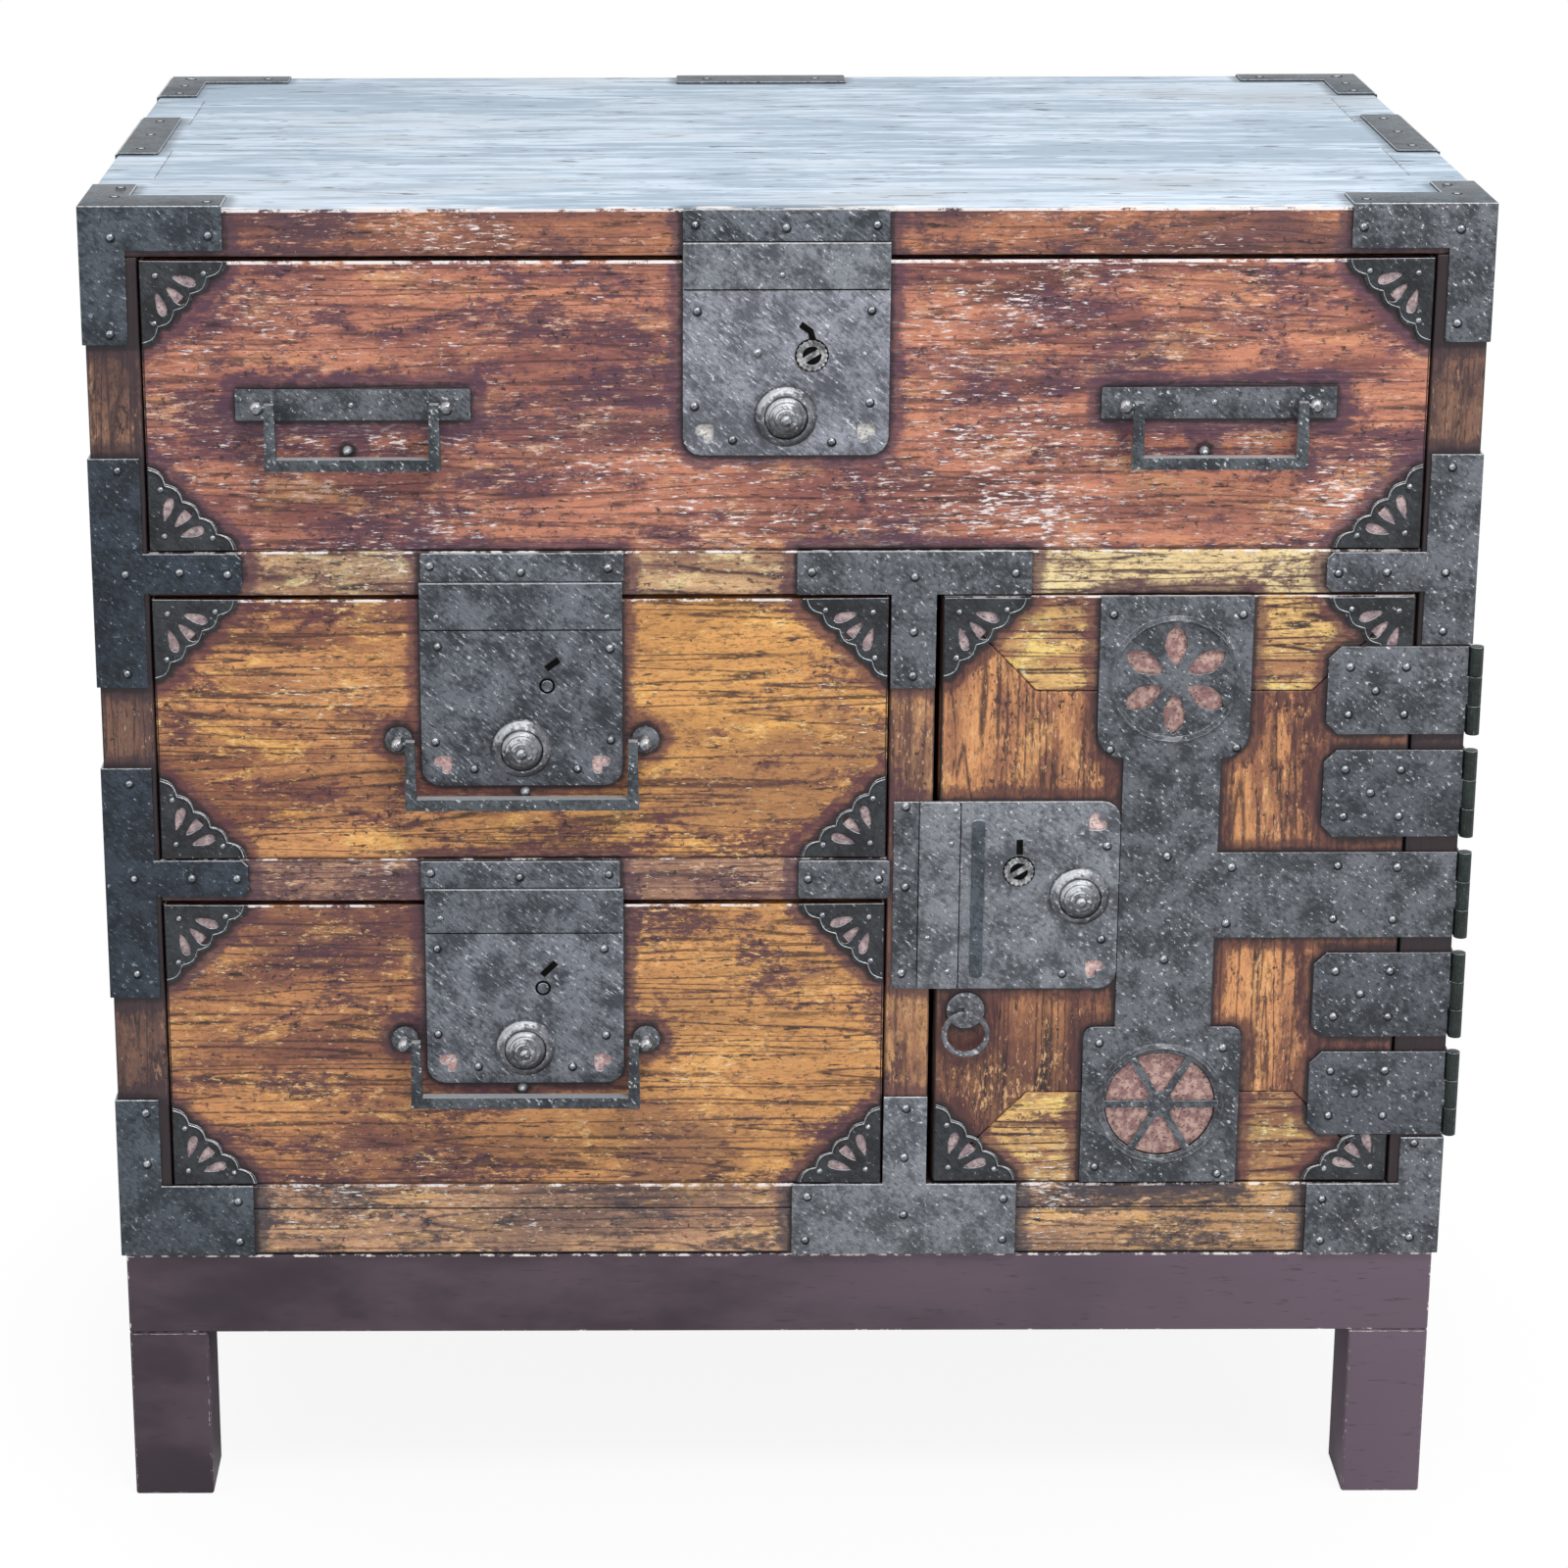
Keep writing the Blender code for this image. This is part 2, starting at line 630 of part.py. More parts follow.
def build_bail(name, x, z, spacing, drop, frame):
    """A square bar bent to a U, whose ends turn out into the posts."""
    arm = spacing / 2 - POST_BALL_RADIUS - BAIL_SIDE_GAP
    inner = arm - BAIL_BAR
    half = BAIL_BAR / 2
    outline = [
        (-arm, half),
        (-arm, -drop - half),
        (arm, -drop - half),
        (arm, half),
        (inner, half),
        (inner, -drop + half),
        (-inner, -drop + half),
        (-inner, half),
    ]
    placed = [(x + u, z + v) for u, v in outline]
    bail = plate([placed], BAIL_BAR, FRONT_PLANE, (0, PIVOT_Y, 0))
    pivot = (x, PIVOT_Y, z)
    finish_node(bail, name, HANDLE_IRON, frame, pivot)
    for hand, side in (("left", -1), ("right", 1)):
        start = (x + side * (arm - half), PIVOT_Y, z)
        end = (x + side * (spacing / 2 + POST_BALL_RADIUS / 2), PIVOT_Y, z)
        pin = cylinder(BAIL_PIN_RADIUS, start, end)
        join(bail, pin, f"{name}_{hand}_pin", frame)


def build_top_handle(hand, side, z):
    """A long plate with two posts, and its bail."""
    x = side * (INNER_HALF - TOP_HANDLE_INSET)
    half_length, half_height = HANDLE_PLATE_LENGTH / 2, HANDLE_PLATE_HEIGHT / 2
    outline = [
        (x - half_length, z - half_height),
        (x + half_length, z - half_height),
        (x + half_length, z + half_height),
        (x - half_length, z + half_height),
    ]
    name = f"handle_plate_{hand}"
    frame = "drawer_top"
    backplate = iron_plate([outline])
    finish_node(backplate, name, PLATE_IRON, frame)
    for end, way in (("left", -1), ("right", 1)):
        post_x = x + way * TOP_POST_SPACING / 2
        post = turned(post_profile(False), (post_x, 0, z), SMALL_STEPS)
        join(backplate, post, f"{name}_{end}_post", frame)
        cut(backplate, pin_bore(post_x, z), f"{name}_{end}_bore", frame)
    build_bail(f"bail_top_{hand}", x, z, TOP_POST_SPACING, TOP_BAIL_DROP, frame)


def build_lower_handle(which, x, z):
    """Two single posts and their bail."""
    frame = f"drawer_{which}"
    for hand, side in (("left", -1), ("right", 1)):
        post_x = x + side * LOWER_POST_SPACING / 2
        name = f"post_{which}_{hand}"
        post = turned(post_profile(True), (post_x, 0, z), SMALL_STEPS)
        finish_node(post, name, HANDLE_IRON, frame, (post_x, 0, z))
        cut(post, pin_bore(post_x, z), f"{name}_bore", frame)
    build_bail(f"bail_{which}", x, z, LOWER_POST_SPACING, LOWER_BAIL_DROP, frame)


# Drawers
def build_drawer(which, left, right, low, high):
    """A front board and an open box behind it, on the empty that slides with them."""
    x0, x1 = left + DRAWER_SIDE_GAP, right - DRAWER_SIDE_GAP
    z0, z1 = low + TOUCH, high - DRAWER_TOP_GAP
    centre = (left + right) / 2
    frame = f"drawer_{which}"
    add_frame(frame, (centre, 0, z0), "case")
    front = box((x0, 0, z0), (x1, FRONT_THICKNESS, z1))
    soften(front)
    finish_node(front, f"{frame}_front", DRAWER_WOOD, frame)
    y0, y1 = FRONT_THICKNESS + TOUCH, INSIDE_DEPTH - DRAWER_REAR_GAP
    rim = z1 - DRAWER_BOX_DROP
    tray = box((x0, y0, z0), (x1, y1, rim))
    finish_node(tray, f"{frame}_box", BOX_WOOD, frame)
    hollow = box(
        (x0 + DRAWER_SIDE_THICKNESS, y0 - OVERRUN, z0 + DRAWER_BOTTOM_THICKNESS),
        (x1 - DRAWER_SIDE_THICKNESS, y1 - DRAWER_BACK_THICKNESS, rim + OVERRUN),
    )
    cut(tray, hollow, f"{frame}_hollow", frame)
    far_edge = (centre, high + FLAP_LAP - DRAWER_LOCK_LENGTH)
    build_lock(which, far_edge, 0, DRAWER_LOCK_LENGTH, front, frame)


def build_drawers():
    build_drawer("top", -INNER_HALF, INNER_HALF, TOP_OPENING_LOW, TOP_OPENING_TOP)
    build_drawer("middle", -INNER_HALF, PARTITION_LEFT, MIDDLE_OPENING_LOW, MIDDLE_OPENING_TOP)
    build_drawer("bottom", -INNER_HALF, PARTITION_LEFT, BOTTOM_OPENING_LOW, BOTTOM_OPENING_TOP)
    for hand, side in (("left", -1), ("right", 1)):
        build_top_handle(hand, side, TOP_OPENING_TOP - TOP_HANDLE_BELOW)
    build_lower_handle("middle", SMALL_OPENING_X, MIDDLE_OPENING_TOP - LOWER_HANDLE_BELOW)
    build_lower_handle("bottom", SMALL_OPENING_X, BOTTOM_OPENING_TOP - LOWER_HANDLE_BELOW)


# Door
def door_board(name, outline):
    middle = (0, FRONT_THICKNESS / 2, 0)
    board = plate([outline], FRONT_THICKNESS, FRONT_PLANE, middle)
    return finish_node(board, name, DOOR_WOOD, "door")


def build_door_wood():
    """Vertical boards between two clamps whose ends are mitred into the corners."""
    clamp = CLAMP_HEIGHT
    panel_outline = [
        (DOOR_LEFT, DOOR_LOW),
        (DOOR_LEFT + clamp, DOOR_LOW + clamp),
        (DOOR_RIGHT - clamp, DOOR_LOW + clamp),
        (DOOR_RIGHT, DOOR_LOW),
        (DOOR_RIGHT, DOOR_HIGH),
        (DOOR_RIGHT - clamp, DOOR_HIGH - clamp),
        (DOOR_LEFT + clamp, DOOR_HIGH - clamp),
        (DOOR_LEFT, DOOR_HIGH),
    ]
    panel = door_board("door_panel", panel_outline)
    # The mitre keeps the touching gap, measured square to it
    slant = TOUCH * math.sqrt(2)
    depth = clamp - TOUCH
    for name, edge, inward in (("door_bottom_clamp", DOOR_LOW, 1), ("door_top_clamp", DOOR_HIGH, -1)):
        outline = [
            (DOOR_LEFT + slant, edge),
            (DOOR_RIGHT - slant, edge),
            (DOOR_RIGHT - slant - depth, edge + inward * depth),
            (DOOR_LEFT + slant + depth, edge + inward * depth),
        ]
        door_board(name, outline)
    return panel


def hinge_height(number):
    """Middle of a hinge, numbered from 1 at the top."""
    return DOOR_MIDDLE + HINGE_PITCH * ((HINGE_COUNT + 1) / 2 - number)


def knuckle_edges(z):
    """The three knuckles' ends: two on the case's leaf with the door's between them."""
    low = z - HINGE_HEIGHT / 2
    third = HINGE_HEIGHT / 3
    return low, low + third, low + third + third, low + HINGE_HEIGHT


def door_leaf_outline(left, z, corner):
    """Flat part of a door leaf, notched clear of the case's knuckles."""
    low, first, second, high = knuckle_edges(z)
    clear_x = AXIS_X - BARREL_RADIUS - KNUCKLE_CLEARANCE
    tongue_low, tongue_high = first + KNUCKLE_GAP, second - KNUCKLE_GAP
    right = [(clear_x, low), (clear_x, tongue_low), (AXIS_X, tongue_low)]
    right += [(AXIS_X, tongue_high), (clear_x, tongue_high), (clear_x, high)]
    if not corner:
        return [(left, low)] + right + [(left, high)]
    outline = [(left + corner, low)] + right
    outline += [(left + corner, high), (left, high - corner), (left, low + corner)]
    return outline


def add_door_knuckle(leaf, name, z):
    _, first, second, _ = knuckle_edges(z)
    low, high = first + KNUCKLE_GAP / 2, second - KNUCKLE_GAP / 2
    knuckle = cylinder(BARREL_RADIUS, (AXIS_X, AXIS_Y, low), (AXIS_X, AXIS_Y, high))
    join(leaf, knuckle, f"{name}_knuckle", "door")
    bore_radius = PIN_RADIUS + PIN_CLEARANCE
    bore = cylinder(
        bore_radius, (AXIS_X, AXIS_Y, low - OVERRUN), (AXIS_X, AXIS_Y, high + OVERRUN)
    )
    cut(leaf, bore, f"{name}_bore", "door")


def build_case_leaf(number):
    """The leaf on the case's side, with the two outer knuckles and the pin."""
    z = hinge_height(number)
    low, first, second, high = knuckle_edges(z)
    clear_y = AXIS_Y + BARREL_RADIUS + KNUCKLE_CLEARANCE
    leaf_low, leaf_high = low + KNUCKLE_GAP / 2, high - KNUCKLE_GAP / 2
    outline = [
        (AXIS_Y, leaf_low),
        (CASE_LEAF_DEPTH, leaf_low),
        (CASE_LEAF_DEPTH, leaf_high),
        (AXIS_Y, leaf_high),
        (AXIS_Y, second + KNUCKLE_GAP),
        (clear_y, second + KNUCKLE_GAP),
        (clear_y, first - KNUCKLE_GAP),
        (AXIS_Y, first - KNUCKLE_GAP),
    ]
    name = f"case_leaf_{number}"
    leaf = plate([outline], IRON, SIDE_PLANE, (CASE_LEAF_INSIDE + IRON / 2, 0, 0))
    finish_node(leaf, name, PLATE_IRON, "case")
    ends = ((low, first - KNUCKLE_GAP / 2), (second + KNUCKLE_GAP / 2, high))
    for end, (start, stop) in zip(("lower", "upper"), ends):
        knuckle = cylinder(BARREL_RADIUS, (AXIS_X, AXIS_Y, start), (AXIS_X, AXIS_Y, stop))
        join(leaf, knuckle, f"{name}_{end}_knuckle", "case")
    inside = (first - low) / 2
    pin = cylinder(PIN_RADIUS, (AXIS_X, AXIS_Y, low + inside), (AXIS_X, AXIS_Y, high - inside))
    join(leaf, pin, f"{name}_pin", "case")


def petal(centre, angle):
    """A lens-shaped opening that points away from the middle of the round."""
    tip = ROUND_OPENING_RADIUS
    middle = (PETAL_INNER + tip) / 2
    points = []
    for along_share, across_share in PETAL_SHARES:
        along = middle + (tip - PETAL_INNER) / 2 * along_share
        across = PETAL_WIDTH / 2 * across_share
        u = centre[0] + along * math.cos(angle) - across * math.sin(angle)
        v = centre[1] + along * math.sin(angle) + across * math.cos(angle)
        points.append((u, v))
    return points


def spoke_opening(centre, number):
    """One opening between two spokes of the plain wheel in the lower round."""
    turn = 360 / SPOKE_COUNT
    start, end = turn * number, turn * (number + 1)
    outer_trim = math.degrees(math.asin(SPOKE_WIDTH / 2 / ROUND_OPENING_RADIUS))
    inner_trim = math.degrees(math.asin(SPOKE_WIDTH / 2 / HUB_RADIUS))
    outer = arc(centre, ROUND_OPENING_RADIUS, start + outer_trim, end - outer_trim)
    inner = arc(centre, HUB_RADIUS, end - inner_trim, start + inner_trim, 2)
    return outer + inner


def build_centre_plate():
    """One iron plate down the door: two blocks with pierced rounds, and the middle hinge's arm."""
    z_low, z_high = DOOR_LOW, DOOR_HIGH
    lower_top = z_low + LOWER_BLOCK_HEIGHT
    upper_low = z_high - UPPER_BLOCK_HEIGHT
    x = DOOR_CENTRE_X
    strap, upper, lower = CENTRE_STRAP_WIDTH / 2, UPPER_BLOCK_WIDTH / 2, LOWER_BLOCK_WIDTH / 2
    corner = BLOCK_CORNER
    # The upper block's lower corners round off right into the strap
    shoulder = upper - strap
    arm = door_leaf_outline(x + strap, hinge_height((HINGE_COUNT + 1) / 2), 0)
    right = [(x + lower, z_low)]
    right += arc((x + lower - corner, lower_top - corner), corner, 0, 90)
    right += [(x + strap, lower_top)] + arm
    right += arc((x + strap, upper_low + shoulder), shoulder, -90, 0)
    right += [(x + upper, z_high)]
    left = [(x - upper, z_high)]
    left += arc((x - strap, upper_low + shoulder), shoulder, 180, 270)
    left += [(x - strap, lower_top)]
    left += arc((x - lower + corner, lower_top - corner), corner, 90, 180)
    left += [(x - lower, z_low)]
    upper_round = (x, z_high - ROUND_OPENING_CENTRE)
    lower_round = (x, z_low + ROUND_OPENING_CENTRE)
    petals = [petal(upper_round, 2 * math.pi * (n + 0.5) / PETAL_COUNT) for n in range(PETAL_COUNT)]
    windows = [spoke_opening(lower_round, number) for number in range(SPOKE_COUNT)]
    name = "door_centre_plate"
    centre_plate = iron_plate([right + left])
    finish_node(centre_plate, name, PLATE_IRON, "door")
    rim_in = ROUND_OPENING_RADIUS + ROUND_RIM_HEIGHT / 3
    rim_out = ROUND_OPENING_RADIUS + ROUND_RIM_WIDTH
    for which, (rim_x, rim_z) in (("upper", upper_round), ("lower", lower_round)):
        rim = turned(
            [
                (rim_out, -IRON / 2),
                (rim_in, -IRON / 2),
                ((rim_in + rim_out) / 2, ROUND_RIM_HEIGHT),
            ],
            (rim_x, IRON_FRONT, rim_z),
            closed=True,
        )
        join(centre_plate, rim, f"{name}_{which}_rim", "door")
    for which, openings in (("upper", petals), ("lower", windows)):
        cutter = plate(openings, OVERRUN, FRONT_PLANE, (0, IRON_FRONT, 0))
        cut(centre_plate, cutter, f"{name}_{which}_openings", "door")
    add_door_knuckle(centre_plate, name, hinge_height((HINGE_COUNT + 1) / 2))


def build_hinges():
    for number in range(1, HINGE_COUNT + 1):
        build_case_leaf(number)
        if number == (HINGE_COUNT + 1) / 2:
            continue
        z = hinge_height(number)
        name = f"door_leaf_{number}"
        outline = door_leaf_outline(HALF_WIDTH - LEAF_LENGTH, z, LEAF_CORNER)
        leaf = iron_plate([outline])
        finish_node(leaf, name, PLATE_IRON, "door")
        add_door_knuckle(leaf, name, z)


def torus(major, minor, turn, at, major_steps, minor_steps):
    bpy.ops.mesh.primitive_torus_add(
        major_segments=major_steps, minor_segments=minor_steps, major_radius=major, minor_radius=minor
    )
    obj = bpy.context.active_object
    for collection in list(obj.users_collection):
        collection.objects.unlink(obj)
    CHEST.objects.link(obj)
    obj.data.transform(Matrix.Translation(Vector(at)) @ turn)
    shade_round(obj)
    return obj


def build_ring_pull():
    """A ring through the eye of a staple, below the door's lock plate."""
    eye_z = DOOR_MIDDLE - LOCK_BREADTH / 2 - RING_BELOW_LOCK
    eye_reach = -IRON_FRONT + STAPLE_EYE_RADIUS
    eye_y = -eye_reach
    disc = cylinder(
        STAPLE_PLATE_RADIUS, (RING_X, IRON_FRONT, eye_z), (RING_X, IRON_BACK, eye_z), ROUND_STEPS
    )
    finish_node(disc, "ring_staple", HANDLE_IRON, "door", (RING_X, IRON_BACK, eye_z))
    across = Matrix.Rotation(math.radians(90), 4, "Y")
    eye = torus(
        STAPLE_EYE_RADIUS, STAPLE_WIRE_RADIUS, across, (RING_X, eye_y, eye_z), SMALL_STEPS, ARC_STEPS * 2
    )
    join(disc, eye, "ring_staple_eye", "door")
    # The ring's wire rests on the lower side of the eye
    rest = STAPLE_EYE_RADIUS - STAPLE_WIRE_RADIUS - RING_WIRE_RADIUS - TOUCH
    pivot = (RING_X, eye_y, eye_z - rest)
    upright = Matrix.Rotation(math.radians(90), 4, "X")
    centre = (RING_X, eye_y, pivot[2] - RING_RADIUS)
    ring = torus(RING_RADIUS, RING_WIRE_RADIUS, upright, centre, ROUND_STEPS, ARC_STEPS * 2)
    finish_node(ring, "door_ring", HANDLE_IRON, "door", pivot)


def build_door():
    add_frame("door", (AXIS_X, AXIS_Y, DOOR_LOW), "case")
    panel = build_door_wood()
    build_hinges()
    build_centre_plate()
    far_edge = (DOOR_FLAP_EDGE + DOOR_LOCK_LENGTH, DOOR_MIDDLE)
    build_lock("door", far_edge, 90, DOOR_LOCK_LENGTH, panel, "door")
    build_ring_pull()


# Case iron
def build_corner_bracket(name, side, top, leg):
    """An L on the front whose arms wrap over the side, and over the top on the upper ones."""
    outer = side * (HALF_WIDTH + TOUCH + IRON)
    skin = side * (HALF_WIDTH + TOUCH)
    edge = CASE_TOP if top else CASE_BOTTOM
    up = -1 if top else 1
    arm_height = BRACKET_WIDTH if top else BASE_RAIL_HEIGHT + BOTTOM_THICKNESS - TOUCH
    # The upper ones stand over the top board by the plate's thickness
    proud = edge - up * (TOUCH + IRON) if top else edge
    arm_end = side * (HALF_WIDTH - BRACKET_ARM)
    leg_end = edge + up * leg
    bracket = box_between(
        (outer, IRON_FRONT, proud), (side * (HALF_WIDTH - BRACKET_WIDTH), IRON_BACK, leg_end)
    )
    finish_node(bracket, name, PLATE_IRON, "case")
    arm = box_between((skin, IRON_FRONT, proud), (arm_end, IRON_BACK, edge + up * arm_height))
    join(bracket, arm, f"{name}_arm", "case")
    wrap = box_between((outer, IRON_FRONT, proud), (skin, BRACKET_SIDE_WRAP, leg_end))
    join(bracket, wrap, f"{name}_wrap", "case")
    if top:
        above = CASE_TOP + TOUCH
        front_strip = box_between((outer, IRON_FRONT, proud), (arm_end, BRACKET_TOP_WRAP, above))
        join(bracket, front_strip, f"{name}_front_strip", "case")
        side_strip = box_between(
            (outer, IRON_FRONT, proud),
            (side * (HALF_WIDTH - BRACKET_WIDTH), BRACKET_TOP_SIDE_ARM, above),
        )
        join(bracket, side_strip, f"{name}_side_strip", "case")


def build_tee(name, bar_low, bar_high, stem_end):
    """A bar on the rail with a stem on the edge of the partition."""
    half_bar, half_stem = TEE_BAR / 2, PARTITION_THICKNESS / 2
    x = PARTITION_CENTRE
    stem_edge = bar_low if stem_end < bar_low else bar_high
    far_edge = bar_high if stem_end < bar_low else bar_low
    outline = [
        (x - half_bar, far_edge),
        (x + half_bar, far_edge),
        (x + half_bar, stem_edge),
        (x + half_stem, stem_edge),
        (x + half_stem, stem_end),
        (x - half_stem, stem_end),
        (x - half_stem, stem_edge),
        (x - half_bar, stem_edge),
    ]
    tee = iron_plate([outline])
    finish_node(tee, name, PLATE_IRON, "case")


def build_case_iron():
    build_corner_bracket("bracket_top_left", -1, True, TOP_BRACKET_LEG)
    build_corner_bracket("bracket_top_right", 1, True, TOP_BRACKET_LEG)
    build_corner_bracket("bracket_bottom_left", -1, False, BOTTOM_LEFT_LEG)
    build_corner_bracket("bracket_bottom_right", 1, False, BOTTOM_RIGHT_LEG)
    build_tee("tee_upper", MIDDLE_OPENING_TOP, TOP_OPENING_LOW, MIDDLE_OPENING_TOP - TEE_STEM)
    build_tee("tee_lower", CASE_BOTTOM, BOTTOM_OPENING_LOW, BOTTOM_OPENING_LOW + TEE_STEM)
    keeper = box(
        (DOOR_FLAP_EDGE - TOUCH - KEEPER_WIDTH, IRON_FRONT, DOOR_MIDDLE - LOCK_BREADTH / 2),
        (DOOR_FLAP_EDGE - TOUCH, IRON_BACK, DOOR_MIDDLE + LOCK_BREADTH / 2),
    )
    finish_node(keeper, "door_keeper", PLATE_IRON, "case")


def main():
    """The empty "case" sits where the case's own frame has its zero, so the chest is centred."""
    add_frame("case", (0, 0, 0))
    shift = Vector(((LEFT_REACH - RIGHT_REACH) / 2, (FRONT_REACH - REAR_REACH) / 2, 0))
    FRAMES["case"][0].location = shift
    build_case()
    build_stand()
    build_drawers()
    build_door()
    build_case_iron()
    bpy.context.view_layer.update()


main()
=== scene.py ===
import json
import random
from math import atan2, cos, pi, radians, sin

import bmesh
import bpy
from mathutils import Matrix, Vector
from mathutils.bvhtree import BVHTree

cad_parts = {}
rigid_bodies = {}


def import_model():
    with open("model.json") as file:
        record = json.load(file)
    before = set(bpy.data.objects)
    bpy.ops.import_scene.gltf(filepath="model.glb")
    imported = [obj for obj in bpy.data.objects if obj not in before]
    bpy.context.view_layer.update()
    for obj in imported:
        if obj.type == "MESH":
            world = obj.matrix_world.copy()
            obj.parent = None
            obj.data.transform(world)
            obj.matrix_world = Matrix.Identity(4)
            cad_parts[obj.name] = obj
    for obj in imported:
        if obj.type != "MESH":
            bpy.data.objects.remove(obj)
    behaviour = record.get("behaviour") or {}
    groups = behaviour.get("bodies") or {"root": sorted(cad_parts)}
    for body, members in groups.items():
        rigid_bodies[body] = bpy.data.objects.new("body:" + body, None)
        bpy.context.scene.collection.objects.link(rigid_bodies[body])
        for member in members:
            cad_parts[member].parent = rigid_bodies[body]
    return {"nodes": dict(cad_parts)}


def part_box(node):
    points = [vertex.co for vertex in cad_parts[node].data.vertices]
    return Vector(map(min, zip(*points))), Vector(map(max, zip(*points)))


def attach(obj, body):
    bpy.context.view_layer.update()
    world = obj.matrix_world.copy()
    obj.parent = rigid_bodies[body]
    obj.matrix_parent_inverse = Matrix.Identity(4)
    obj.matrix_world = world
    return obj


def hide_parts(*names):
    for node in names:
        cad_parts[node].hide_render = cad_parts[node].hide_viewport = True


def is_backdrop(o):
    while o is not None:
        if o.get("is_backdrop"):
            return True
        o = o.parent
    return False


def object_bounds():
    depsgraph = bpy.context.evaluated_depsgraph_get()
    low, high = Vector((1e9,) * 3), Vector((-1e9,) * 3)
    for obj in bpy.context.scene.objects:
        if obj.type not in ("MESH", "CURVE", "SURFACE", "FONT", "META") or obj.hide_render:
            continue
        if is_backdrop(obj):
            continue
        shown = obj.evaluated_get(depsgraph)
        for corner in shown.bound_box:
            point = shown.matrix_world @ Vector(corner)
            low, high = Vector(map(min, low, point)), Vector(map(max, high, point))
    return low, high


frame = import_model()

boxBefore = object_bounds()
scene = bpy.context.scene
nodes = frame["nodes"]

# Places on the front are given in millimetres: x from the middle of the case, z from the floor
millimetre = 0.001
weld = 0.00001  # points closer than this are one
nearly = 0.00005  # how far a point may be from a plane that it lies in
fitGap = 0.0003  # between the wood and the iron on it
caseLeft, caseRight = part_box("left_side")[0].x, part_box("right_side")[1].x
caseX = (caseLeft + caseRight) / 2
woodFront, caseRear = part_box("left_side")[0].y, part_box("left_side")[1].y
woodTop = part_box("top_board")[1].z
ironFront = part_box("tee_upper")[0].y
plateThickness = woodFront - fitGap - ironFront
doorShrink = 0.0024  # the door's wood has drawn back from the partition
gapDrop = 0.002  # and the drawer fronts from the rails above them
topDrop = 0.0004  # the iron on the top lies this much lower, to leave its rivets their height
drawerNames = ("top", "middle", "bottom")
standUp = Matrix.Rotation(pi / 2, 4, "X")  # turns what lies flat to face the viewer
flat = Matrix.Identity(4)


def onFront(x, z, y=ironFront):
    return Vector((caseX + x * millimetre, y, z * millimetre))


def bodyOf(node):
    return nodes[node].parent.name.split(":")[1]


def rgb(red, green, blue):  # the colours are written as a picture shows them
    channels = [value / 255 for value in (red, green, blue)]
    return tuple(c / 12.92 if c <= 0.04045 else ((c + 0.055) / 1.055) ** 2.4 for c in channels) + (1,)


# sums on sockets, and one way to make every other node
class Wire:
    def __init__(self, maker, socket):
        self.maker, self.socket = maker, socket

    def sum(self, operation, first, second):
        return self.maker.node("Math", {"operation": operation}, {0: first, 1: second})

    def __add__(self, other):
        return self.sum("ADD", self, other)

    def __sub__(self, other):
        return self.sum("SUBTRACT", self, other)

    def __rsub__(self, other):
        return self.sum("SUBTRACT", other, self)

    def __mul__(self, other):
        return self.sum("MULTIPLY", self, other)

    __radd__ = __add__
    __rmul__ = __mul__


class Maker:
    def __init__(self, owner):  # a material or a world
        owner.use_nodes = True
        self.tree = owner.node_tree
        self.tree.nodes.clear()

    def node(self, kind, settings=None, values=None, out=0):
        made = self.tree.nodes.new("ShaderNode" + kind)
        for name, value in (settings or {}).items():
            setattr(made, name, value)
        for key, value in (values or {}).items():
            if isinstance(value, Wire):
                self.tree.links.new(value.socket, made.inputs[key])
            else:
                made.inputs[key].default_value = value
        return Wire(self, made.outputs[out]) if len(made.outputs) else None

    def mix(self, share, first, second):
        return self.node("Mix", {"data_type": "RGBA"}, {0: share, 6: first, 7: second}, 2)

    def lay(self, share, tone):  # a colour over what is there already
        self.colour = self.mix(share, self.colour, tone)

    def step(self, value, low, high):
        values = {"Value": value, "From Min": low, "From Max": high}
        return self.node("MapRange", {"interpolation_type": "SMOOTHSTEP"}, values)

    def noise(self, scale, detail=3.0, shift=(0, 0, 0), rough=0.55, bend=0.0, turn=None):
        spot = self.spot
        if turn:
            spot = self.node("Mapping", {}, {"Vector": spot, "Rotation": turn})
        placed = self.node("Mapping", {}, {"Vector": spot, "Location": shift, "Scale": scale})
        values = {"Vector": placed, "Scale": 1.0, "Detail": detail, "Roughness": rough, "Distortion": bend}
        return self.node("TexNoise", {}, values)

    def contours(self, height, gap):  # thin lines where a slow noise crosses its levels
        ridge = self.node("Math", {"operation": "PINGPONG"}, {0: height, 1: 0.5})
        return 1 - self.step(ridge, 0.0, gap)

    def attribute(self, name):
        return self.node("Attribute", {"attribute_name": name}, {}, "Fac")

    def place(self, axis):
        return self.node("SeparateXYZ", {}, {"Vector": self.spot}, axis)

    def finish(self, rough, relief, values=None):
        strength, distance, height = relief
        bump = self.node("Bump", {}, {"Strength": strength, "Distance": distance, "Height": height})
        values = {"Base Color": self.colour, "Roughness": rough, "Normal": bump, **(values or {})}
        surface = self.node("BsdfPrincipled", {}, values)
        self.node("OutputMaterial", {}, {"Surface": surface})


def newMaterial(name):
    material = bpy.data.materials.new(name)
    maker = Maker(material)
    maker.spot = maker.node("TexCoord", {}, {}, "Object")
    return material, maker


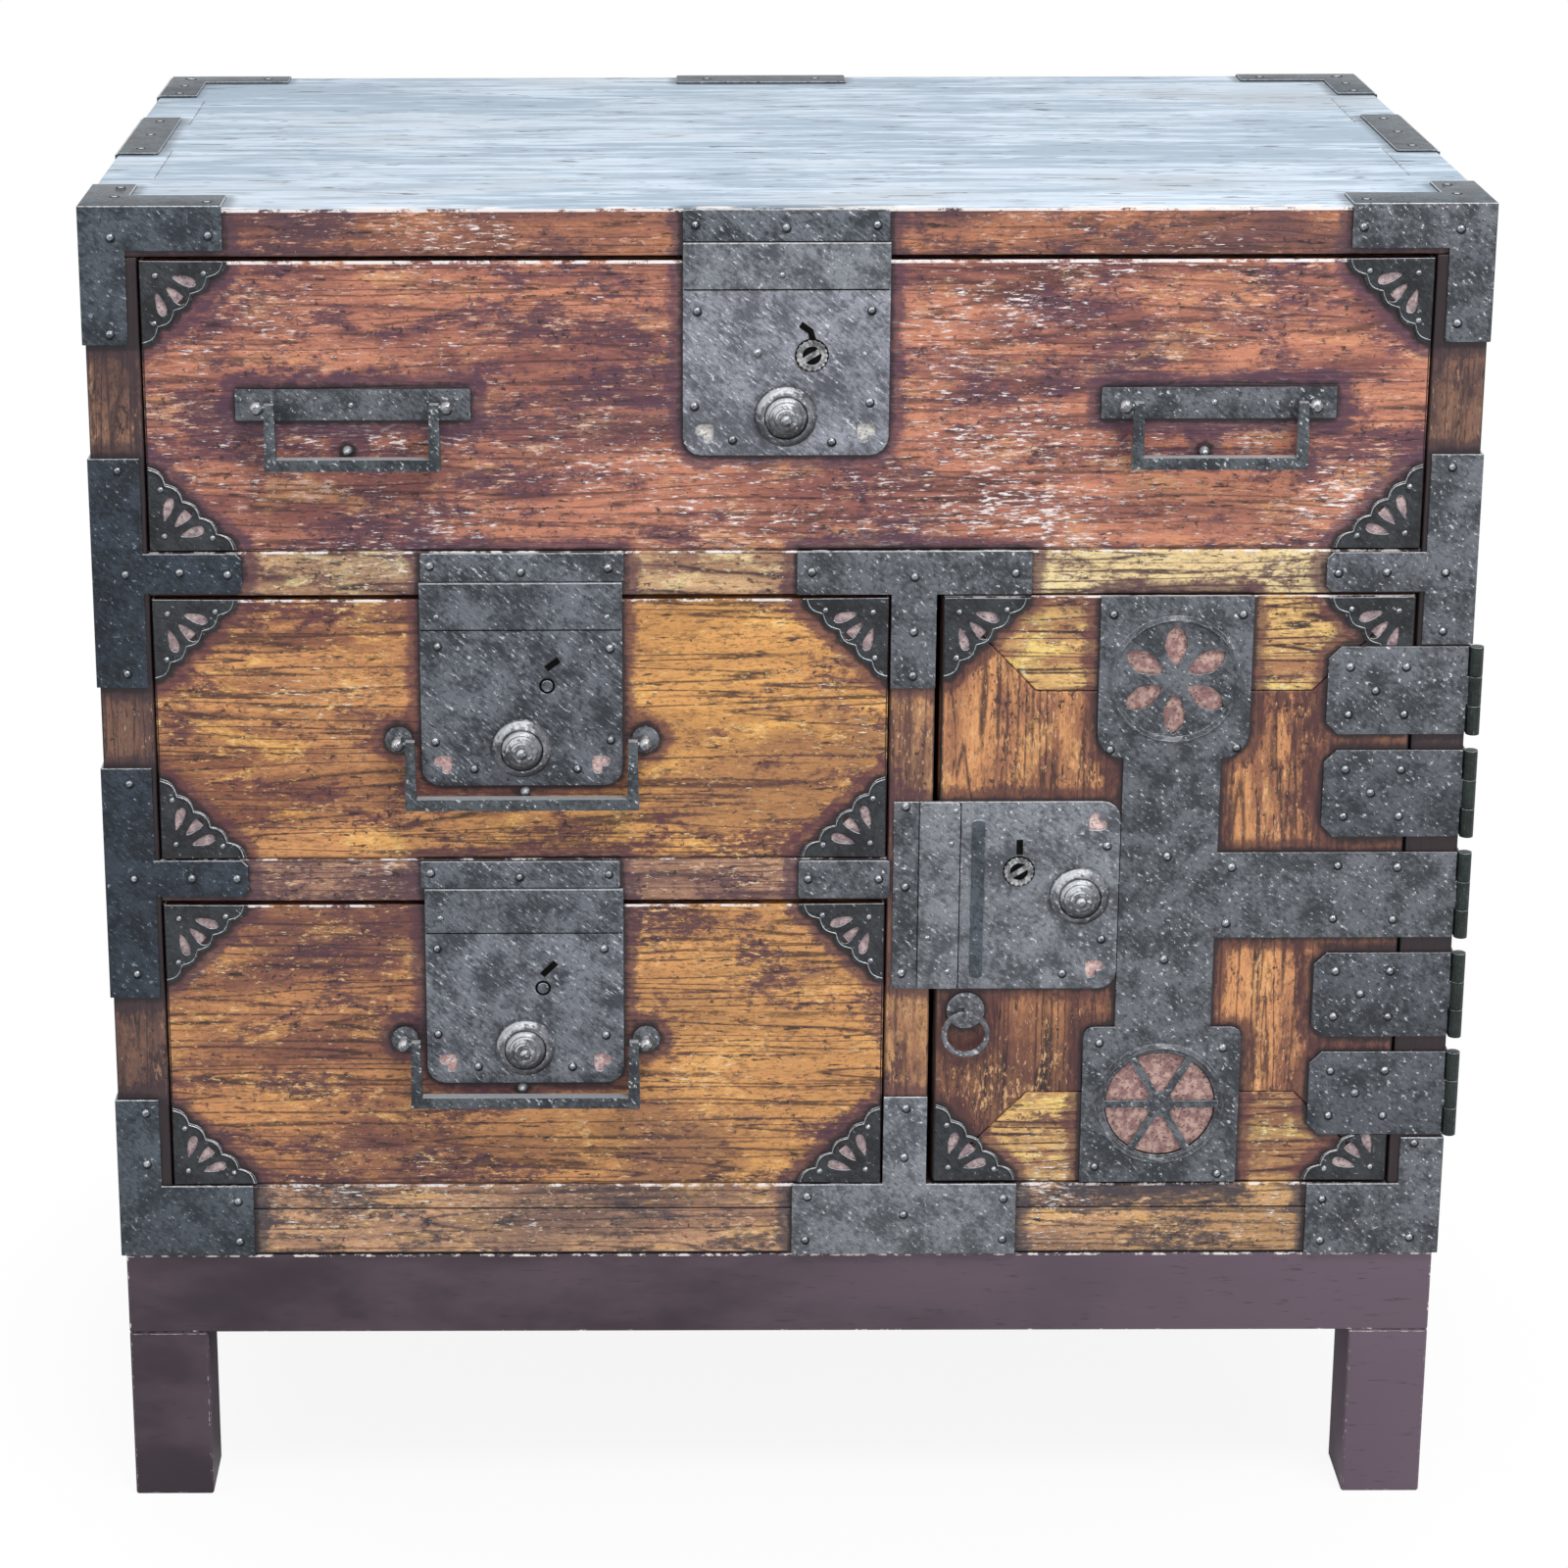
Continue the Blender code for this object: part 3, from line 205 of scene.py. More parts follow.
# The woods: colours as they look, and the share of each mark. The lit end is painted light, paler
# where more light falls: from x to x and how much; gloom is a dark foot: from z to z, how much and up to which
# x
woodLooks = {
    "drawerTopWood": {
        "base": rgb(140, 84, 78), "light": rgb(218, 144, 112), "dark": rgb(46, 24, 30),
        "patch": rgb(84, 52, 70), "speck": rgb(255, 240, 238), "patches": 0.66, "specks": 0.82, "lines": 0.7,
        "gold": rgb(236, 172, 116), "goldShare": 0.4, "glint": rgb(252, 210, 190), "seed": (0.3, 0, 0.1),
        "crumble": 1.3, "lowSpecks": (0.79, 0.74),
    },
    "drawerMiddleWood": {
        "base": rgb(142, 88, 64), "light": rgb(224, 158, 100), "dark": rgb(50, 28, 28),
        "patch": rgb(92, 48, 58), "speck": rgb(255, 244, 216), "patches": 0.62, "specks": 0.5, "lines": 0.9,
        "gold": rgb(252, 186, 100), "goldShare": 0.5, "glint": rgb(255, 214, 146), "seed": (1.3, 0, 0.7),
        "litEnd": (-0.28, -0.04, 0.55),
    },
    "drawerBottomWood": {
        "base": rgb(140, 88, 68), "light": rgb(216, 150, 96), "dark": rgb(48, 26, 28),
        "patch": rgb(80, 46, 60), "speck": rgb(255, 244, 216), "patches": 0.66, "specks": 0.45, "lines": 0.9,
        "gold": rgb(250, 184, 104), "goldShare": 0.4, "glint": rgb(252, 206, 146), "seed": (2.1, 0, 1.9),
        "litEnd": (-0.28, -0.04, 0.5),
    },
    "railWood": {
        "base": rgb(158, 114, 90), "light": rgb(240, 196, 144), "dark": rgb(60, 34, 38),
        "patch": rgb(96, 60, 66), "speck": rgb(255, 248, 236), "patches": 0.58, "specks": 0.85, "lines": 1.0,
        "gold": rgb(255, 230, 168), "goldShare": 0.6, "glint": rgb(255, 234, 196), "seed": (3.4, 0, 0.4),
        "litEnd": (0.04, 0.16, 0.8),
    },
    "footWood": {
        "base": rgb(152, 112, 92), "light": rgb(224, 172, 130), "dark": rgb(50, 38, 42),
        "patch": rgb(66, 58, 66), "speck": rgb(250, 244, 238), "patches": 0.76, "specks": 0.85, "lines": 0.8,
        "gold": rgb(244, 190, 108), "goldShare": 0.35, "glint": rgb(250, 216, 180), "seed": (9.4, 0, 0.3),
        "litEnd": (0.1, 0.3, 0.35),
    },
    "lowRailWood": {
        "base": rgb(130, 94, 84), "light": rgb(192, 144, 114), "dark": rgb(54, 34, 38),
        "patch": rgb(86, 58, 68), "speck": rgb(252, 240, 228), "patches": 0.68, "specks": 0.7, "lines": 0.8,
        "gold": rgb(224, 172, 122), "goldShare": 0.3, "glint": rgb(244, 212, 184), "seed": (3.9, 0, 1.4),
        "litEnd": (0.0, 0.3, 0.2),
    },
    "topRailWood": {
        "base": rgb(128, 82, 74), "light": rgb(190, 124, 92), "dark": rgb(48, 28, 32),
        "patch": rgb(80, 54, 66), "speck": rgb(252, 238, 232), "patches": 0.7, "specks": 0.5, "lines": 0.6,
        "gold": rgb(208, 138, 88), "goldShare": 0.3, "glint": rgb(234, 184, 164), "seed": (4.4, 0, 2.4),
        "litEnd": (-0.2, 0.3, 0.08), "crumble": 1.6,
    },
    "postWood": {
        "base": rgb(160, 110, 80), "light": rgb(218, 164, 112), "dark": rgb(70, 40, 36),
        "patch": rgb(84, 50, 56), "speck": rgb(244, 224, 204), "patches": 0.45, "specks": 0.3, "lines": 0.8,
        "gold": rgb(232, 180, 122), "goldShare": 0.3, "glint": rgb(240, 200, 156), "upright": True,
        "seed": (0.8, 0, 3.4),
    },
    "sideWood": {
        "base": rgb(104, 74, 66), "light": rgb(146, 106, 84), "dark": rgb(46, 32, 34),
        "patch": rgb(58, 40, 46), "speck": rgb(210, 190, 176), "patches": 0.55, "specks": 0.2, "lines": 0.8,
        "gold": rgb(160, 118, 84), "goldShare": 0.2, "glint": rgb(176, 138, 112), "upright": True,
        "seed": (5.8, 0, 1.4),
    },
    "doorWood": {
        "base": rgb(154, 100, 74), "light": rgb(226, 158, 104), "dark": rgb(50, 28, 28),
        "patch": rgb(78, 42, 44), "speck": rgb(246, 214, 182), "patches": 0.46, "specks": 0.35, "lines": 0.9,
        "gold": rgb(240, 176, 108), "goldShare": 0.35, "glint": rgb(244, 190, 138), "upright": True,
        "gloom": (0.4, 0.3, 0.7, 0.22), "seed": (6.1, 0, 0.2),
    },
    "clampWood": {
        "base": rgb(178, 124, 86), "light": rgb(252, 204, 128), "dark": rgb(62, 32, 32),
        "patch": rgb(98, 54, 56), "speck": rgb(255, 250, 230), "patches": 0.56, "specks": 0.6, "lines": 1.1,
        "gold": rgb(255, 216, 122), "goldShare": 0.7, "glint": rgb(255, 236, 184), "seed": (7.7, 0, 0.9),
    },
    "insideWood": {
        "base": rgb(190, 156, 118), "light": rgb(212, 182, 142), "dark": rgb(142, 108, 78),
        "patch": rgb(150, 116, 88), "speck": rgb(226, 204, 170), "patches": 0.3, "specks": 0.1, "lines": 0.5,
        "gold": rgb(216, 188, 148), "goldShare": 0.2, "glint": rgb(222, 196, 158), "seed": (8.2, 0, 1.1),
    },
}


def woodMaterial(name, look):
    material, maker = newMaterial(name)
    step, lay = maker.step, maker.lay
    seed = look["seed"]
    crumble = look.get("crumble", 2.4)  # how short the marks along the grain are

    def grain(along, across, detail=3.0, rough=0.55, bend=0.0):
        scale = (across, across, along) if look.get("upright") else (along, across, across)
        return maker.noise(scale, detail, seed, rough, bend)

    broad = grain(7, 46, 5, 0.65)
    fibre = grain(34 * crumble, 300, 5, 0.78)
    thread = grain(70 * crumble, 620, 3, 0.7)
    crackle = grain(130, 200, 5, 0.72, 0.4)
    dashes = grain(60, 340, 3, 0.65)
    cloud = grain(11, 26, 7, 0.72, 0.4)
    golden = grain(14, 36, 5, 0.66, 0.4)
    glints = grain(52 * crumble, 400, 5, 0.78)
    wearAndLight = grain(105, 560, 4, 0.72)
    zone = maker.noise((4.5, 4.5, 9), 4, (seed[2] + 2, 1, seed[0] + 3), 0.6, 0.5)
    wornArea = maker.noise((9, 9, 20), 4, (4, 2, 1), 0.6)
    chipped = maker.noise((55, 55, 55), 5, seed, 0.75)
    pits = maker.noise((220, 220, 220), 3, seed, 0.6)
    across, height = maker.place("X"), maker.place("Z")
    soot, edge = maker.attribute("soot"), maker.attribute("edge")
    line = maker.contours(grain(2.6, 58, 2, 0.45, 0.3) * 8, 0.2)  # the late wood

    bands = step(broad + fibre * 0.3 + crackle * 0.2, 0.63, 0.87)
    maker.colour = maker.mix(bands, look["base"], look["light"])
    # painted light: the wood grows paler towards the lit end
    if "litEnd" in look:
        start, end, share = look["litEnd"]
        lay(step(across + cloud * 0.2, start + 0.1, end + 0.1) * share, look["gold"])
    lay(step(zone, 0.5, 0.4) * 0.3, look["light"])
    lay(step(golden + crackle * 0.2, 0.62, 0.74) * look["goldShare"] * 1.6, look["gold"])
    lay(step(fibre * 0.6 + crackle * 0.4, 0.5, 0.62) * 0.66, look["dark"])
    lay(step(crackle, 0.38, 0.3) * 0.8, look["dark"])
    lay(step(thread, 0.51, 0.64) * 0.36, look["dark"])
    lay(line * look["lines"] * step(thread, 0.3, 0.46) * 0.95, look["dark"])
    lay(step(zone + crackle * 0.2, 0.62, 0.72) * 0.45, look["patch"])
    if "gloom" in look:
        start, end, share, edgeX = look["gloom"]
        left = step(across, edgeX, edgeX - 0.03)
        gloom = step(height + cloud * 0.12 + fibre * 0.06, start + 0.09, end + 0.09)
        lay(gloom * left * share, look["patch"])
        scars = step(grain(7, 105, 4, 0.6, 0.3), 0.56, 0.62)
        lay(scars * gloom * left * 0.85, rgb(30, 20, 24))
    # painted highlights: thin pale glints along the grain
    lay(step(glints + golden * 0.4, 0.79, 0.85) * 0.7, look["glint"])
    lay(step(crackle + golden * 0.4, 0.82, 0.9) * 0.6, look["glint"])
    patches, specks = look["patches"], look["specks"]
    patchShare = step(cloud + crackle * 0.3, 0.76 - patches * 0.18, 0.84 - patches * 0.16)
    lay(patchShare * step(glints, 0.62, 0.5) * 0.85, look["patch"])
    lay(step(dashes, 0.62, 0.68) * 0.85, rgb(34, 22, 26))
    lay(step(pits + cloud * 0.4, 0.84, 0.9) * 0.8, rgb(30, 20, 24))
    lowSpecks = step(height, *look.get("lowSpecks", (0.1, 0.0))) * 0.04  # more pale specks low down, partly worn bare and partly painted highlights
    # the pale specks are partly bare wear and partly painted highlights
    speckShare = step(wearAndLight + wornArea * 0.5 + lowSpecks, 0.96 - specks * 0.1, 1.03 - specks * 0.09)
    lay(speckShare, look["speck"])
    # the iron has blackened the wood around it, first widely and then close by
    lay(step(soot + crackle * 0.9 + cloud * 1.1 - 1.0, 0.32, 0.62) * 0.78, look["patch"])
    lay(step(soot + crackle * 0.4 - 0.2, 0.74, 0.9) * 0.9, rgb(34, 22, 28))
    # edges are worn bare and painted bright as highlight where edge is above 0; below 0 they are painted dark,
    # as shade and at the one dark seam
    lay(step(edge * 0.5 + chipped + wearAndLight * 0.3, 1.02, 1.12) * 0.95, rgb(250, 242, 238))
    lay(step(edge * -1, 0.3, 0.8), rgb(20, 15, 18))
    relief = crackle * 0.5 - fibre * 0.4 - line * 0.4 + speckShare * 0.4 + wearAndLight * 0.3
    maker.finish(0.4 + fibre * 0.22 + speckShare * 0.1, (0.7, 0.0008, relief))
    return material


topLook = {
    "base": rgb(162, 180, 196), "light": rgb(218, 231, 244), "dark": rgb(70, 76, 88),
    "brown": rgb(160, 166, 172), "coat": 0.06,
}


def topMaterial(name, look):
    material, maker = newMaterial(name)
    step, lay = maker.step, maker.lay
    cloud = maker.noise((4, 8, 8), 5, (0, 0, 0), 0.65)
    streak = maker.noise((9, 90, 90), 5, (0, 0, 0), 0.7, 0.2)
    ripple = maker.noise((3.5, 52, 52), 2, (2, 5, 2), 0.5, 0.4)
    dash = maker.noise((30, 190, 190), 3, (3, 1, 2), 0.62)
    soot, edge = maker.attribute("soot"), maker.attribute("edge")
    line = maker.contours(ripple * 5, 0.07) * step(streak, 0.44, 0.6)
    # its pale blue-grey is a painted reflection of the bright surroundings on the dark top
    maker.colour = maker.mix(step(streak + cloud * 0.7, 0.74, 0.98), look["base"], look["light"])
    lay(step(cloud, 0.5, 0.72) * 0.6, look["brown"])
    lay(line * 0.6, look["dark"])
    lay(step(dash, 0.61, 0.68) * 0.85, look["dark"])
    lay(step(soot + cloud * 0.6 - 0.3, 0.5, 0.95) * 0.6, look["dark"])
    # pale worn edges, partly painted highlight
    lay(step(edge * 0.4 + streak + dash * 0.5, 1.12, 1.24) * 0.9, rgb(240, 236, 232))
    relief = (0.4, 0.0006, streak - dash * 0.6 - line)
    maker.finish(0.5 + streak * 0.2, relief, {"Coat Weight": look["coat"]})
    return material


# right is painted light: a paler tone where more light falls
lacquerLook = {
    "base": rgb(50, 36, 46), "light": rgb(84, 66, 78), "right": rgb(104, 86, 100), "chip": rgb(244, 232, 226),
}


def lacquerMaterial(name, look):
    material, maker = newMaterial(name)
    step, lay = maker.step, maker.lay
    cloud = maker.noise((9, 14, 20), 4)
    fine = maker.noise((60, 420, 420), 3)
    chips = maker.noise((130, 200, 200), 4, (1, 3, 1), 0.7)
    edge = maker.attribute("edge")
    maker.colour = maker.mix(step(cloud, 0.35, 0.7), look["base"], look["light"])
    # painted light: paler towards the right, where more light falls
    lay(step(maker.place("X") + cloud * 0.2, -0.1, 0.5) * 0.9, look["right"])
    lay(step(fine, 0.6, 0.75) * 0.5, rgb(40, 30, 38))
    chip = step(edge * 0.5 + chips, 0.94, 1.04)
    lay(chip, look["chip"])
    # painted shade where edge is below 0, as in the gap under the case
    lay(step(edge * -1, 0.2, 0.8), rgb(12, 10, 12))
    maker.finish(0.34 + cloud * 0.2, (0.3, 0.0004, fine * 0.4 - chip))
    return material


# The irons: flecks, metal and rough are 0.9, 0.4 and 0.42 where they aren't given
ironLooks = {
    "plateIron": {"dark": rgb(52, 56, 62), "mid": rgb(112, 116, 122), "fleck": rgb(232, 236, 240)},
    "darkIron": {
        "dark": rgb(38, 46, 54), "mid": rgb(84, 92, 100),
        "fleck": rgb(180, 186, 192), "flecks": 0.84,
    },
    "deepIron": {
        "dark": rgb(18, 26, 36), "mid": rgb(54, 64, 76),
        "fleck": rgb(160, 170, 180), "flecks": 0.85,
    },
    "paleIron": {
        "dark": rgb(78, 82, 88), "mid": rgb(138, 142, 148),
        "fleck": rgb(226, 230, 234), "rough": 0.4,
    },
    # a darker, bluer copy for what looks up on the top, painted for the light from above
    "topIron": {
        "dark": rgb(30, 38, 46), "mid": rgb(72, 86, 98),
        "fleck": rgb(150, 164, 176), "flecks": 0.7, "metal": 0.1, "rough": 0.5,
    },
    "fanIron": {
        "dark": rgb(24, 26, 30), "mid": rgb(54, 58, 62),
        "fleck": rgb(170, 174, 178), "flecks": 0.75, "rough": 0.36,
    },
    "topLockIron": {
        "dark": rgb(92, 94, 102), "mid": rgb(156, 158, 168),
        "fleck": rgb(236, 238, 242), "rough": 0.4, "brushed": True,
    },
    "lowLockIron": {
        "dark": rgb(62, 67, 74), "mid": rgb(130, 134, 142),
        "fleck": rgb(228, 232, 236), "rough": 0.4, "brushed": True,
    },
    "leafIron": {"dark": rgb(44, 48, 54), "mid": rgb(96, 100, 107), "fleck": rgb(222, 226, 230)},
    "lockIron": {
        "dark": rgb(48, 54, 60), "mid": rgb(114, 118, 126),
        "fleck": rgb(226, 230, 234), "rough": 0.4, "brushed": True,
    },
    "handleIron": {
        "dark": rgb(38, 44, 50), "mid": rgb(88, 94, 100),
        "fleck": rgb(222, 226, 230), "flecks": 0.95, "rough": 0.32,
    },
    "rivetIron": {
        "dark": rgb(84, 88, 94), "mid": rgb(140, 144, 150),
        "fleck": rgb(250, 250, 250), "metal": 0.5, "rough": 0.14,
    },
    "domeIron": {
        "dark": rgb(72, 74, 80), "mid": rgb(134, 136, 142),
        "fleck": rgb(236, 238, 242), "flecks": 1.0, "metal": 0.35, "rough": 0.34,
    },
    # painted shade: the barrels beyond the right corner
    "barrelIron": {
        "dark": rgb(12, 22, 20), "mid": rgb(32, 46, 42),
        "fleck": rgb(100, 116, 110), "flecks": 0.5, "rough": 0.4,
    },
}


def ironMaterial(name, look):
    material, maker = newMaterial(name)
    step, lay = maker.step, maker.lay
    cloud = maker.noise((46, 46, 46), 6, (2, 1, 0), 0.68)
    grit = maker.noise((420, 420, 420), 3, (1, 1, 1), 0.65)
    dents = maker.noise((300, 300, 300), 4, (5, 1, 0), 0.65)
    # strokes run from upper left to lower right, clearest on the locks
    length, breadth = (150, 600) if look.get("brushed") else (220, 460)
    stroke = maker.noise((length, breadth, breadth), 4, (0, 0, 0), 0.68, 0.0, (0, radians(-40), 0))
    edge = maker.attribute("edge")
    tone = step(cloud * 0.55 + stroke * 0.3 + dents * 0.15, 0.41, 0.58)
    maker.colour = maker.mix(tone, look["dark"], look["mid"])
    lay(step(dents, 0.44, 0.34) * 0.7, look["dark"])
    fleckLow = 0.715 - look.get("flecks", 0.9) * 0.14
    lay(step(grit * 0.3 + stroke * 0.7, fleckLow, fleckLow + 0.045) * 0.8, look["fleck"])
    # painted highlight where edge is above 0: eased edges and round pieces that look up, partly wear
    shine = step(edge * 0.75 + stroke * 0.8 - 0.4, 0.34, 0.62)
    lay(shine * 0.8, rgb(222, 225, 228))
    # painted shade where edge is below 0: the undersides of round pieces and the grooves of turned ones
    lay(step(edge * -1, 0.2, 0.8) * 0.9, rgb(20, 22, 26))
    relief = grit * 0.3 + stroke * 0.8 + cloud * 0.8 + dents * 0.8
    values = {"Metallic": look.get("metal", 0.4), "Coat Weight": 0.2}
    maker.finish(look.get("rough", 0.42) + grit * 0.16 - shine * 0.1, (1.0, 0.0012, relief), values)
    return material


underlayLooks = {
    "pinkUnderlay": {"base": rgb(206, 162, 160), "light": rgb(244, 220, 212), "dark": rgb(120, 92, 96)},
    "paleUnderlay": {"base": rgb(200, 196, 192), "light": rgb(240, 236, 226), "dark": rgb(116, 112, 114)},
    "mauveUnderlay": {"base": rgb(156, 134, 138), "light": rgb(204, 180, 178), "dark": rgb(92, 76, 84)},
    "roundUnderlay": {"base": rgb(150, 112, 110), "light": rgb(204, 168, 156), "dark": rgb(76, 54, 56)},
    # painted shade: the dark in the key holes, round them and along the flaps' seams
    "keyHoleDark": {"base": rgb(12, 11, 12), "light": rgb(20, 18, 18), "dark": rgb(5, 5, 5), "gloss": 0.05},
    # painted shadow: the dark rings under the rivets
    "rivetGrime": {"base": rgb(34, 36, 40), "light": rgb(52, 54, 58), "dark": rgb(16, 16, 18), "gloss": 0.1},
    "rosetteIron": {
        "base": rgb(104, 104, 106), "light": rgb(196, 196, 196), "dark": rgb(44, 44, 46), "metal": 0.4,
    },
}


def underlayMaterial(name, look):
    material, maker = newMaterial(name)
    cloud = maker.noise((170, 170, 170), 4)
    grit = maker.noise((600, 600, 600), 3)
    maker.colour = maker.mix(maker.step(cloud, 0.4, 0.62), look["base"], look["light"])
    maker.lay(maker.step(grit, 0.52, 0.68) * 0.8, look["dark"])
    values = {"Metallic": look.get("metal", 0.0), "Specular IOR Level": look.get("gloss", 0.5)}
    maker.finish(0.5 + grit * 0.2, (0.3, 0.0003, grit), values)
    return material


finishes = {}
makers = ((woodMaterial, woodLooks), (ironMaterial, ironLooks), (underlayMaterial, underlayLooks))
for make, looks in makers:
    finishes.update({name: make(name, look) for name, look in looks.items()})
# the top's pale colour is a painted reflection
finishes["topWood"] = topMaterial("topWood", topLook)
finishes["standLacquer"] = lacquerMaterial("standLacquer", lacquerLook)
print("materials:", len(finishes))

# making pieces
sharpAngle = radians(35)
film = 0.00012  # the thickness of the painted shadows under the rivets and in the flaps' seams
thinEase = 0.02  # and the ease of such layers, in millimetres
ironPieces = []  # what leaves soot on the wood around it


def addObject(name, data):
    made = bpy.data.objects.new(name, data)
    scene.collection.objects.link(made)
    return made


def startPiece():
    bm = bmesh.new()
    bm.faces.layers.float.new("edge")
    bm.verts.layers.float.new("soot")
    return bm


def finishPiece(bm, name, body, slot, finish, replaced=()):
    mesh = bpy.data.meshes.new(name)
    bm.to_mesh(mesh)
    bm.free()
    for one in (finish,) if isinstance(finish, str) else finish:
        mesh.materials.append(finishes[one])
    mesh.shade_smooth()
    mesh.set_sharp_from_angle(angle=sharpAngle)
    piece = addObject(name, mesh)
    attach(piece, body)
    if replaced:
        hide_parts(*replaced)
    if slot in ("plate_iron", "handle_iron"):
        ironPieces.append(piece)
    return piece


def mergedCopy(node):
    bm = startPiece()
    bm.from_mesh(nodes[node].data)
    bmesh.ops.remove_doubles(bm, verts=bm.verts, dist=weld)
    bmesh.ops.dissolve_limit(bm, angle_limit=radians(1), verts=bm.verts, edges=bm.edges)
    return bm


def bevelled(bm, edges, width, segments):
    made = bmesh.ops.bevel(
        bm, geom=edges, offset=width, offset_type="OFFSET", segments=segments, profile=0.5,
        affect="EDGES", material=-1, clamp_overlap=True,
    )
    return made["faces"]


def byRise(face, up, level, down):  # a share by the way a face looks, for painted light and shade
    rise = face.normal.z
    return up if rise > 0.25 else down if rise < -0.25 else level


def easeEdges(bm, width, angle, shares):
    # shares: how bare the eased edges are worn and how bright or dark they are painted, looking up, level and
    # down
    edge = bm.faces.layers.float["edge"]
    sharp = [e for e in bm.edges if e.is_manifold and e.calc_face_angle() > radians(angle)]
    for face in bevelled(bm, sharp, width, 2):
        face[edge] = byRise(face, *shares)


def cut(bm, place, normal, clear=False):
    geom = bm.verts[:] + bm.edges[:] + bm.faces[:]
    bmesh.ops.bisect_plane(bm, geom=geom, dist=weld, plane_co=place, plane_no=normal, clear_outer=clear)


def cutGrid(bm, axis, spacing):
    reach = [v.co[axis] for v in bm.verts]
    low, high = min(reach), max(reach)
    count = int((high - low) / spacing)
    normal = Vector([1 if i == axis else 0 for i in range(3)])
    for number in range(1, count):
        cut(bm, normal * (low + (high - low) * number / count), normal)


def curveMesh(outlines, settings, closed=True):
    curve = bpy.data.curves.new("outline", "CURVE")
    for name, value in settings.items():
        setattr(curve, name, value)
    for outline in outlines:
        spline = curve.splines.new("POLY")
        spline.points.add(len(outline) - 1)
        for point, (x, z) in zip(spline.points, outline):
            point.co = (x, z, 0, 1)
        spline.use_cyclic_u = closed
    shape = addObject("outline", curve)
    bpy.context.view_layer.update()
    mesh = bpy.data.meshes.new_from_object(shape.evaluated_get(bpy.context.evaluated_depsgraph_get()))
    bpy.data.objects.remove(shape)
    return mesh


def addMesh(bm, mesh, matrix):  # gives back the faces that it brings
    vertsBefore, facesBefore = set(bm.verts), set(bm.faces)
    bm.from_mesh(mesh)
    bpy.data.meshes.remove(mesh)
    verts = [v for v in bm.verts if v not in vertsBefore]
    bmesh.ops.transform(bm, matrix=matrix, verts=verts)
    bmesh.ops.remove_doubles(bm, verts=verts, dist=weld)
    faces = [f for f in bm.faces if f not in facesBefore]
    bmesh.ops.recalc_face_normals(bm, faces=faces)
    return faces


def addPlate(bm, outlines, place, thickness=plateThickness, ease=0.35, turn=standUp, mirror=(1, 1)):
    # outlines and ease in millimetres; the inner outlines become openings. The flat plate is
    # turned up, its lower side put on place and its depth towards the viewer
    edge = bm.faces.layers.float["edge"]
    half = thickness / millimetre / 2
    settings = {
        "dimensions": "2D", "fill_mode": "BOTH", "extrude": half - ease,
        "bevel_depth": ease, "bevel_resolution": 1, "offset": -ease,
    }
    scale = Matrix.Diagonal((millimetre * mirror[0], millimetre * mirror[1], millimetre, 1))
    matrix = Matrix.Translation(place) @ turn @ scale @ Matrix.Translation((0, 0, half))
    outward = (turn @ Vector((0, 0, 1, 0))).xyz
    for face in addMesh(bm, curveMesh(outlines, settings), matrix):
        # the plate's sides are painted brighter where they look up: painted highlight and wear
        face[edge] = byRise(face, 0.75, 0.4, 0.0) if abs(face.normal.dot(outward)) < 0.93 else 0.0


def platePiece(name, body, finish, outline, place, *shape):  # shape: thickness and ease
    bm = startPiece()
    addPlate(bm, [outline], place, *shape)
    finishPiece(bm, name, body, "plate_iron", finish)


def box(x0, z0, x1, z1, corner=0.0):  # a rectangle's outline, its corners cut round if asked
    if not corner:
        return [(x0, z0), (x1, z0), (x1, z1), (x0, z1)]
    points = []
    for cx, cz, start in ((x1 - corner, z0 + corner, -90), (x1 - corner, z1 - corner, 0),
                          (x0 + corner, z1 - corner, 90), (x0 + corner, z0 + corner, 180)):
        for number in range(4):
            angle = radians(start + number * 30)
            points.append((cx + corner * cos(angle), cz + corner * sin(angle)))
    return points


def ringOf(x, z, radius, count=20):
    angles = [2 * pi * number / count for number in range(count)]
    return [(x + radius * cos(angle), z + radius * sin(angle)) for angle in angles]


def paintLightFromAbove(bm, faces, share):
    # painted light: bright where a round piece looks up and left towards the light, painted shade below
    edge = bm.faces.layers.float["edge"]
    for face in faces:
        face.normal_update()
        face[edge] = max(-1, min(1, share * face.normal.dot(Vector((-0.5, -0.1, 0.86)))))


def addDome(bm, place, radius, height, outward=(0, -1, 0), segments=10, rings=6):
    turn = Vector((0, 0, 1)).rotation_difference(Vector(outward)).to_matrix().to_4x4()
    shape = Matrix.Diagonal((radius, radius, height, 1))
    matrix = Matrix.Translation(place) @ turn @ shape
    before = set(bm.faces)
    bmesh.ops.create_uvsphere(bm, u_segments=segments, v_segments=rings, radius=1, matrix=matrix)
    # painted light above and painted shade below on every small dome
    paintLightFromAbove(bm, [f for f in bm.faces if f not in before], 1.5)


# stage, light and camera
studio = {
    "floor": rgb(250, 250, 250), "worldLight": 0.55, "worldColour": (0.93, 0.96, 1, 1),
    "key": {"power": 52, "size": 1.0, "place": (0.7, -1.5, 3.2)},
    "fill": {"power": 12, "size": 1.6, "place": (2.6, -2.2, 1.4)},
}
white = (1, 1, 1, 1)


